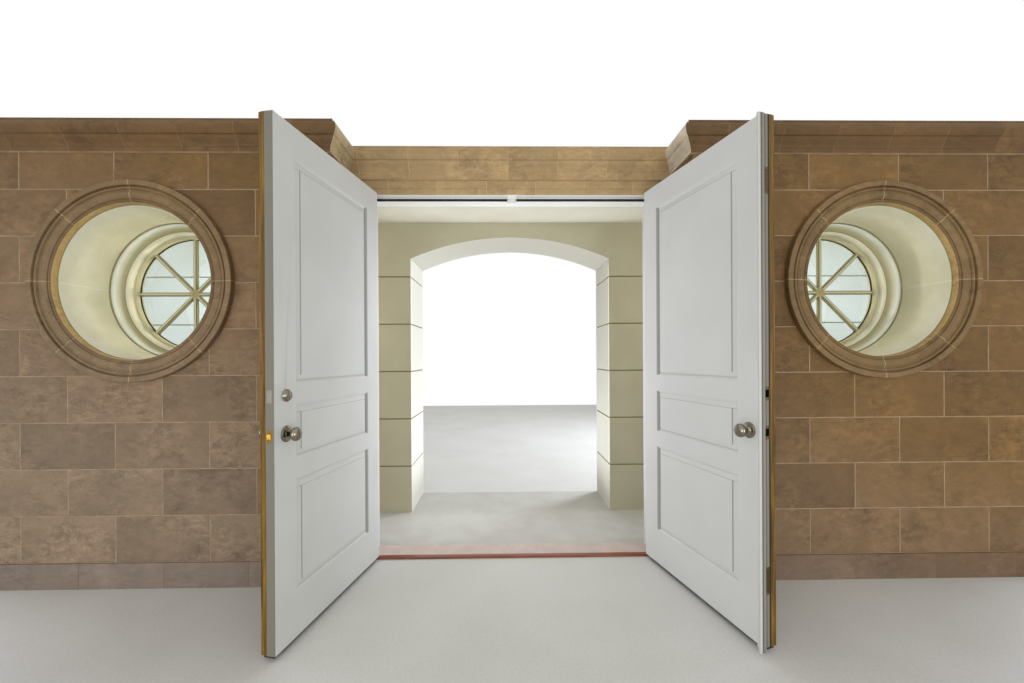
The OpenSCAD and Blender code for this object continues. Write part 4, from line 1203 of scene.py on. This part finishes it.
stone_count, stone_steps = 8, 14
lip_reach = mm(9.5)
joint_sink_mm = 0.2
stone_bm, slab_bm = bmesh.new(), bmesh.new()
ring_slab(stone_bm, ring_outline(), math.pi / stone_count, joint_width / 2, stone_steps)
ring_slab(slab_bm, ring_outline(joint_sink_mm), 0.0, -joint_width / 2, 1)
ring_stone_template = make_piece("ring_stone_template", stone_bm, ring_stone)
ring_joint_template = make_piece("ring_joint_template", slab_bm, ring_mortar)
for side, label, seed in ((-1, "left", 5), (1, "right", 8)):
    centre = (side * window_x, room_face, window_z)
    ring = repeat_about("ring_stones_" + label, ring_stone_template, stone_count, centre, ring_stone,
                        math.pi / stone_count, seed, ring_angle)
    settle(ring, "entrance", "travertine", "ring_" + label)
    joints = repeat_about("ring_joints_" + label, ring_joint_template, stone_count, centre, ring_mortar,
                          0.0, seed, ring_angle)
    settle(joints, "entrance", "travertine", "ring_" + label)
drop(ring_stone_template, ring_joint_template)

# %% [markdown]
# ## Window bars and hub
# Eight wooden bars meet in a turned hub in front of the glass, and eight more behind it. Each bar is moulded:
# a narrow flat in front, coloured pale as painted light, with a slope on both sides, coloured olive as
# painted shade. A thin dark gasket shows round the edge of the glass.

# %% Bars and turned pieces
glass_front = low_corner("window_glass_right").y
glass_back = high_corner("window_glass_right").y
glass_diameter = high_corner("window_glass_right").x - low_corner("window_glass_right").x
glass_rebate = mm(4.5)
glass_radius = glass_diameter / 2 - glass_rebate
lining_front, lining_end = low_corner("tunnel_lining_right").y, high_corner("tunnel_lining_right").y
frame_face = low_corner("window_frame_right").y
bar_count, bar_depth = 8, mm(13)
bar_reach = (mm(22), glass_radius + mm(3))
hub_outline = [(0, 0), (35, 0), (35, 10), (32, 13), (26, 14), (24, 12.5), (21, 12.5), (18, 15),
               (8, 16.5), (0, 17)]


def bar_template(face, back, name):
    """One moulded bar from the hub to the sash, with its narrow face at face and its broad foot at back."""
    middle = face + (back - face) * 0.5
    section = [(-13.5, back), (-13.5, middle), (-7.0, middle), (-5.5, face), (5.5, face), (7.0, middle),
               (13.5, middle), (13.5, back)]
    bm = bmesh.new()
    skin(bm, [[(mm(x), y, z) for x, y in section] for z in bar_reach])
    edge = bm.faces.layers.float.new("edge")
    for bar_face in bm.faces:
        bar_face[edge] = 1.0 if all(abs(v.co.y - face) < 1e-6 for v in bar_face.verts) else 0.0
    return make_piece(name, bm, bar_paint)


def turned(name, outline, centre, material, steps=64):
    """Turns a closed outline of (radius, depth) about an axis along Y through the centre."""
    bm = bmesh.new()
    stations = []
    for step in range(steps):
        angle = 2 * math.pi * step / steps
        stations.append([(centre[0] + r * math.cos(angle), centre[1] + y, centre[2] + r * math.sin(angle))
                         for r, y in outline])
    skin(bm, stations, closed=True)
    bmesh.ops.remove_doubles(bm, verts=bm.verts, dist=1e-6)
    bmesh.ops.dissolve_degenerate(bm, edges=bm.edges, dist=1e-7)
    return make_piece(name, bm, material, turned_angle)


print("glass radius", round(glass_radius, 4), "m, bars", bar_depth, "m deep")

# %% Set the bars, hubs, gaskets and sealant
inner_bar = bar_template(glass_front - bar_depth, glass_front, "bar_template_inner")
outer_bar = bar_template(glass_back + bar_depth, glass_back, "bar_template_outer")
for side, label in sides:
    centre = (side * window_x, 0.0, window_z)
    for template, where in ((inner_bar, "inner"), (outer_bar, "outer")):
        bars = repeat_about("window_bars_%s_%s" % (where, label), template, bar_count, centre, bar_paint)
        settle(bars, "entrance", "white_paint")
    for where, plane, way in (("inner", glass_front, -1), ("outer", glass_back, 1)):
        hub = [(mm(radius), way * mm(rise)) for radius, rise in hub_outline]
        piece = turned("window_hub_%s_%s" % (where, label), hub, (centre[0], plane, centre[2]), hub_paint)
        settle(piece, "entrance", "white_paint")
    gasket = [(glass_radius - mm(5), 0.0), (glass_radius - mm(4), mm(-5)),
              (glass_radius, mm(-7)), (glass_radius, 0.0)]
    seal = turned("glass_gasket_" + label, gasket, (centre[0], glass_front, centre[2]), seal_rubber, steps=96)
    settle(seal, "entrance", "seal")
    frame_bead = [(opening_radius, lining_end - mm(5)), (opening_radius, lining_end),
                  (lining_radius, lining_end), (lining_radius, frame_face),
                  (opening_radius - mm(5), frame_face)]
    seal = turned("frame_sealant_" + label, frame_bead, centre, olive_sealant, steps=128)
    settle(seal, "entrance", "seal")
    ring_bead = [(opening_radius + mm(7), lining_front - mm(2.5)),
                 (opening_radius + mm(7), lining_front), (opening_radius + mm(4.5), lining_front)]
    seal = turned("ring_sealant_" + label, ring_bead, centre, olive_sealant, steps=128)
    settle(seal, "entrance", "seal")
drop(inner_bar, outer_bar)

# %% [markdown]
# ## Channelled courses of the porch
# The wall of the porch is cut into flat courses with a V channel between them, which runs on round the
# reveals of the archway. One course is skinned from its plan, drawn in at its top and foot, and a tree
# stacks it five times.

# %% Stack the porch courses
def stack_tree():
    """Repeats one piece upwards at an even spacing."""
    tree, given = start_tree("stack_up", [
        ("Piece", "Object"), ("Count", "Int"), ("Spacing", "Float"), ("Material", "Material")])
    step = add_node(tree, "ShaderNodeCombineXYZ", {2: given["Spacing"]}).outputs[0]
    spots = add_node(tree, "GeometryNodeMeshLine", {"Count": given["Count"], "Offset": step}).outputs[0]
    piece = add_node(tree, "GeometryNodeObjectInfo", {"Object": given["Piece"]}).outputs["Geometry"]
    copies = add_node(tree, "GeometryNodeInstanceOnPoints", {"Points": spots, "Instance": piece})
    return end_tree(tree, copies.outputs[0], given["Material"])


stack_up = stack_tree()
channel = mm(7)


def course_solid(bm, side, low, high, cut_top):
    """One course of a pier: its plan, drawn in by the depth of the channel along its foot, and along its
    top where another course stands on it."""
    def plan(inset, height):
        near, far = porch_near + inset, porch_far - inset
        corners = ((arch_half + inset, near), (wall_end, near), (wall_end, far), (arch_half + inset, far))
        return [(side * x, y, height) for x, y in corners]

    stations = [plan(channel, low), plan(0.0, low + channel)]
    stations += [plan(0.0, high - channel), plan(channel, high)] if cut_top else [plan(0.0, high)]
    skin(bm, stations)


for side, label in sides:
    course_bm, head_bm = bmesh.new(), bmesh.new()
    course_solid(course_bm, side, 0.0, porch_course, True)
    course_template = make_piece("course_template", course_bm, porch_stone)
    courses = grow("porch_courses_" + label, stack_up, piece=course_template, count=channelled_courses,
                   spacing=porch_course, material=porch_stone)
    settle(courses, "entrance", "limestone_olive", "porch_wall_" + label)
    course_solid(head_bm, side, porch_course * channelled_courses, wall_top, False)
    head = make_piece("porch_head_" + label, head_bm, porch_stone)
    settle(head, "entrance", "limestone_olive", "porch_wall_" + label)
    drop(course_template)

# %% [markdown]
# ## Cover strips and collars
# On the room side a varnished strip covers the meeting edge of each leaf. A knob turns in its rose with a
# collar that hides the hole. Both are carried round on the leaf, or on the knobs, so each is drawn in the
# leaf's own places and then swung open with it.

# %% Cover strips
near, far, strip_face = leaf_end - mm(30), leaf_end - mm(0.5), inner_face - mm(13)
strip_outline = [
    (near, inner_face), (near, strip_face + mm(4)), (near + mm(4), strip_face + mm(1)),
    (near + mm(8), strip_face), (far - mm(2), strip_face), (far, strip_face + mm(2)), (far, inner_face)]
strip_ends = (leaf_foot + mm(2), leaf_head - mm(2))
for side, label in sides:
    bm = bmesh.new()
    skin(bm, [[on_leaf(side, x, y, z) for x, y in strip_outline] for z in strip_ends])
    settle(make_piece("cover_strip_" + label, bm, golden_wood), label + "_door", "door_varnish")

# %% Collars of the turning knobs
knob_along, knob_height = leaf_end - mm(78), leaf_foot + mm(982)
rose_thick = mm(7.4)
collar_outline = [(12.0, 0.0), (19.0, 0.0), (19.0, 1.2), (17.5, 2.4), (14.0, 3.0), (12.0, 3.0)]
collar_steps = 48
collar_bm = bmesh.new()
for start, way in ((outer_face + rose_thick, 1), (inner_face - rose_thick, -1)):
    stations = []
    for step in range(collar_steps):
        angle = 2 * math.pi * step / collar_steps
        stations.append([on_leaf(-1, knob_along + mm(r) * math.cos(angle), start + way * mm(rise),
                                 knob_height + mm(r) * math.sin(angle)) for r, rise in collar_outline])
    skin(collar_bm, stations, closed=True)
settle(make_piece("knob_collars", collar_bm, nickel, turned_angle), "left_knobs", "nickel")

# %% [markdown]
# ## Small fixings
# Every plate is held by countersunk screws with a cross slot. One screw head is modelled, and a tree sets a
# copy on each mark, turned to face out of its plate, with a fixed random turn of the slot.

# %% The tree that sets screws
def screw_tree():
    """Sets one screw head on every mark, facing along the mark's own direction."""
    tree, given = start_tree("set_screws", [
        ("Screw", "Object"), ("Marks", "Object"), ("Seed", "Int"), ("Material", "Material")])
    screw = add_node(tree, "GeometryNodeObjectInfo", {"Object": given["Screw"]}).outputs["Geometry"]
    marks = add_node(tree, "GeometryNodeObjectInfo", {"Object": given["Marks"]}).outputs["Geometry"]
    facing = add_node(tree, "GeometryNodeInputNamedAttribute", {"Name": "facing"},
                      data_type="FLOAT_VECTOR").outputs[0]
    aim = add_node(tree, "FunctionNodeAlignRotationToVector", {"Vector": facing}, axis="Z").outputs[0]
    points = add_node(tree, "GeometryNodeMeshToPoints", {0: marks}).outputs[0]
    heads = add_node(tree, "GeometryNodeInstanceOnPoints", {
        "Points": points, "Instance": screw, "Rotation": aim}).outputs[0]
    dice = add_node(tree, "FunctionNodeRandomValue", {
        2: 0.0, 3: 3.1, 8: given["Seed"]}, data_type="FLOAT")
    twist = add_node(tree, "ShaderNodeCombineXYZ", {2: dice.outputs[1]}).outputs[0]
    twisted = add_node(tree, "GeometryNodeRotateInstances", {0: heads, "Rotation": twist}).outputs[0]
    return end_tree(tree, twisted, given["Material"])


set_screws = screw_tree()
print("screw tree:", len(set_screws.nodes), "nodes")

# %% One screw head, and a helper that sets it
def screw_head():
    """Countersunk head with a cross slot, sixteen sides, drawn about its own axis."""
    bm = bmesh.new()
    rim_sides, radius, slot_half, slot_reach = 16, mm(3.6), mm(0.55), mm(2.3)
    turns = [2 * math.pi * i / rim_sides for i in range(rim_sides)]
    rim = [bm.verts.new((radius * math.cos(turn), radius * math.sin(turn), mm(0.15))) for turn in turns]
    foot = [bm.verts.new((v.co.x, v.co.y, mm(-0.8))) for v in rim]
    for i in range(rim_sides):
        bm.faces.new((rim[i], foot[i], foot[(i + 1) % rim_sides], rim[(i + 1) % rim_sides]))
    bm.faces.new(foot)
    arm = [(slot_half, slot_half), (slot_reach, slot_half), (slot_reach, -slot_half)]
    cross = []
    for quarter in range(4):
        turn = Matrix.Rotation(-math.pi / 2 * quarter, 2)
        cross += [turn @ Vector(p) for p in arm]
    top = [bm.verts.new((p.x, p.y, mm(0.35))) for p in cross]
    deep = [bm.verts.new((p.x, p.y, mm(-0.5))) for p in cross]
    for i in range(len(top)):
        bm.faces.new((top[i], top[(i + 1) % len(top)], deep[(i + 1) % len(top)], deep[i]))
    bm.faces.new(deep)
    edges = [e for e in bm.edges if all(v in rim for v in e.verts) or all(v in top for v in e.verts)]
    bmesh.ops.triangle_fill(bm, edges=edges, use_beauty=True)
    return make_piece("screw_template", bm, satin_nickel)


def screws_at(name, marks, body, seed):
    """Sets a satin nickel screw at each (point, direction) mark."""
    mesh = bpy.data.meshes.new("marks")
    mesh.from_pydata([tuple(point) for point, facing in marks], [], [])
    facing = mesh.attributes.new("facing", "FLOAT_VECTOR", "POINT")
    for index, mark in enumerate(marks):
        facing.data[index].vector = mark[1]
    holder = bpy.data.objects.new("marks", mesh)
    bpy.context.scene.collection.objects.link(holder)
    piece = grow(name, set_screws, moulding_angle, screw=screw_template, marks=holder, seed=seed,
                 material=satin_nickel)
    bpy.data.objects.remove(holder)
    settle(piece, body, "nickel")


screw_template = screw_head()
print("faces of a screw head:", len(screw_template.data.polygons))

# %% Screws of the plates on the meeting edges
latch_depth = mm(45)
bolt_height = leaf_foot + mm(1160)
flush_heights = (leaf_foot + mm(305), leaf_head - mm(305))


def edge_facing(side):
    """Direction that the meeting edge of an open leaf looks in."""
    return (on_leaf(side, 1.0, 0.0, 0.0) - on_leaf(side, 0.0, 0.0, 0.0)).normalized()


def edge_marks(side, heights, reach):
    """Marks on a meeting edge for the two screws of each plate, one below and one above its middle."""
    return [(on_leaf(side, leaf_end, latch_depth, height + rise), edge_facing(side))
            for height in heights for rise in (-reach, reach)]


screws_at("edge_plate_screws_left", edge_marks(-1, (knob_height, bolt_height), mm(23)), "left_door", 3)
right_marks = edge_marks(1, (knob_height, bolt_height), mm(25)) + edge_marks(1, flush_heights, mm(56))
screws_at("edge_plate_screws_right", right_marks, "right_door", 4)

# %% Screws of the hinge plates, on the leaf and on the frame
hinge_heights = [leaf_foot + mm(h) for h in (200, 880, 1560, 2240)]
screw_pattern = ((mm(32), mm(-38)), (mm(22), mm(0)), (mm(32), mm(38)))
for side, label, seed in ((-1, "left", 6), (1, "right", 7)):
    marks = [(on_leaf(side, leaf_start, depth, height + step), -edge_facing(side))
             for height in hinge_heights for depth, step in screw_pattern]
    screws_at("hinge_screws_" + label, marks, label + "_door", seed)
frame_x = pin_x + mm(0.5)
frame_marks = [(Vector((side * frame_x, pin_y + depth, height + step)), Vector((-side, 0.0, 0.0)))
               for side in (-1, 1) for height in hinge_heights for depth, step in screw_pattern]
screws_at("hinge_screws_frame", frame_marks, "entrance", 9)
drop(screw_template)

# %% [markdown]
# ## Finishes of the carried-over nodes
# The doors, frames, seals, floors and metal parts already have the right shape, so their nodes stay and
# only get a finish. A bevel of just under a millimetre breaks the sharp edges of the woodwork, as sanding
# does, and the turned parts are shaded smooth.

# %% Dress the CAD nodes
def dress(node, material):
    """Gives a CAD node one procedural finish."""
    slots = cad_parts[node].data.materials
    slots.clear()
    slots.append(material)


def welded(node):
    """Joins the loose triangles of a node, without touching its mesh, and returns its object."""
    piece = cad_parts[node]
    weld = piece.modifiers.new("weld", "WELD")
    weld.merge_threshold = 1e-6
    return piece


def soften(node):
    """Breaks the sharp edges of a node, as sanding does."""
    bevel = welded(node).modifiers.new("sanded_edges", "BEVEL")
    bevel.width = sanded_width
    bevel.segments = 2
    bevel.limit_method = "ANGLE"
    bevel.angle_limit = math.radians(30)


sanded_width = mm(0.8)
finish_of = {
    "wall_left": porch_stone, "wall_right": porch_stone, "wall_over_door": porch_stone,
    "tunnel_lining_left": lining_stone, "tunnel_lining_right": lining_stone,
    "window_frame_left": window_paint, "window_frame_right": window_paint,
    "window_glass_left": window_glass, "window_glass_right": window_glass,
    "door_jamb_left": door_white, "door_jamb_right": door_white, "door_head": lit_head_white,
    "weatherstrip": seal_rubber, "threshold": threshold_wood, "door_sill": sill_stone,
    "porch_floor": paving_stone, "porch_ceiling": porch_plaster, "porch_arch": porch_stone,
    "hinge_pins": nickel,
    "left_door_slab": left_leaf_paint, "left_door_lining": golden_wood, "left_door_sweep": seal_rubber,
    "left_door_hinge_plates": satin_nickel, "left_door_roses": nickel, "left_door_knobs": nickel,
    "left_door_edge_plates": edge_plates, "left_latch_bolt": brass,
    "right_door_slab": right_leaf_paint, "right_door_lining": golden_wood, "right_door_sweep": seal_rubber,
    "right_door_hinge_plates": satin_nickel, "right_door_knobs": nickel, "right_door_strikes": worn_bronze,
    "right_door_flush_bolts": worn_bronze, "right_door_astragal": right_leaf_paint,
}
for node, material in finish_of.items():
    dress(node, material)
for node in ("window_glass_left", "window_glass_right"):
    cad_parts[node].visible_shadow = False
for node in ("left_door_slab", "right_door_slab", "left_door_lining", "right_door_lining", "door_head",
             "door_jamb_left", "door_jamb_right", "right_door_astragal"):
    soften(node)
print("dressed", len(finish_of), "nodes")

# %% Smooth the turned nodes
for node in ("left_door_knobs", "right_door_knobs", "left_door_roses", "hinge_pins", "window_frame_left",
             "window_frame_right", "tunnel_lining_left", "tunnel_lining_right"):
    welded(node).data.shade_smooth()
    print("shaded smooth:", node)

# %% [markdown]
# ## Light, floor and background
# A pale floor carries the object, and a white world lights it from all round, a little below full
# strength, so that the corners stay soft. Broad lamps add a direction, at a level where each colour renders
# about as it is written: two stand in the room, and three outside, for the daylight from the garden and
# from the open ends of the porch. Smaller hidden lamps stand in for light that a real wall passes on: in
# the doorway, under the arch, and beside and behind each window.

# %% Floor and world
def stage_floor():
    """Plain pale floor under the whole object, a millimetre below it."""
    bm = bmesh.new()
    reach = 9.0
    corners = ((-reach, -reach), (reach, -reach), (reach, reach), (-reach, reach))
    bm.faces.new([bm.verts.new((x, y, -mm(1))) for x, y in corners])
    floor_paint = quiet_mineral("floor_pale_plain", "#d2d1cd", "#cccbc6", 12, 700, 0.1, 0.6)
    make_piece("stage_floor", bm, floor_paint)


def plain_world(strength):
    """White to the camera, and a soft even light for the object."""
    world = bpy.data.worlds.new("plain_studio")
    bpy.context.scene.world = world
    world.use_nodes = True
    tree = world.node_tree
    tree.nodes.clear()
    rays = add_node(tree, "ShaderNodeLightPath").outputs
    seen = math_in(tree, "MAXIMUM", rays["Is Camera Ray"], math_in(
        tree, "MAXIMUM", rays["Is Glossy Ray"], rays["Is Transmission Ray"]))
    soft = add_node(tree, "ShaderNodeBackground", {0: srgb("#fbfaf6"), 1: strength}).outputs[0]
    plain = add_node(tree, "ShaderNodeBackground", {0: srgb("#ffffff"), 1: 1.0}).outputs[0]
    chosen = add_node(tree, "ShaderNodeMixShader", {0: seen, 1: soft, 2: plain}).outputs[0]
    add_node(tree, "ShaderNodeOutputWorld", {0: chosen})


stage_floor()
plain_world(0.70)
print("world:", bpy.context.scene.world.name)

# %% Lamps
def soft_lamp(name, place, aim, size, watts, colour="#ffffff", hidden=False):
    """A broad square lamp that looks at a point. A hidden one lights without being seen itself."""
    data = bpy.data.lights.new(name, "AREA")
    data.size = size
    data.energy = watts
    data.color = srgb(colour)[:3]
    lamp = bpy.data.objects.new(name, data)
    lamp.location = place
    lamp.rotation_euler = (Vector(aim) - Vector(place)).to_track_quat("-Z", "Y").to_euler()
    if hidden:
        lamp.visible_camera = lamp.visible_transmission = lamp.visible_glossy = False
    bpy.context.scene.collection.objects.link(lamp)


soft_lamp("key_from_room", (-2.2, -4.6, 1.0), (-0.8, 0.0, 0.8), 2.0, 52)
soft_lamp("fill_from_room", (2.3, -4.6, 0.9), (0.9, 0.0, 0.9), 2.0, 57)
soft_lamp("daylight_from_garden", (4.2, 3.8, 2.8), (-0.6, 1.2, 1.3), 1.6, 280, "#eaf1ff")
soft_lamp("daylight_in_doorway", (0.0, 0.85, 1.25), (0.0, -1.0, 1.25), 1.8, 11, "#f2f6ff", True)
soft_lamp("bounce_under_arch", (0.0, 1.15, 0.12), (0.0, 1.05, 2.0), 0.6, 19, "#f0f3ff", True)
for side, label in sides:
    soft_lamp(label + "_end_of_porch", (side * 4.7, 0.45, 1.6), (side * 1.0, 0.9, 1.6), 1.6, 75, "#e2eaff")
    beside = (side * 1.75, 0.62, window_z)
    soft_lamp(label + "_window_light", beside, (side * 2.62, -0.1, window_z), 0.6, 13, "#fff8e6", True)
    behind = (side * 2.6, 0.5, window_z)
    soft_lamp(label + "_passage_light", behind, (side * 2.6, 0.9, window_z), 1.2, 8, "#cdd9f6", True)
bpy.context.scene.view_settings.view_transform = "Standard"
print("lamps:", len(bpy.data.lights))
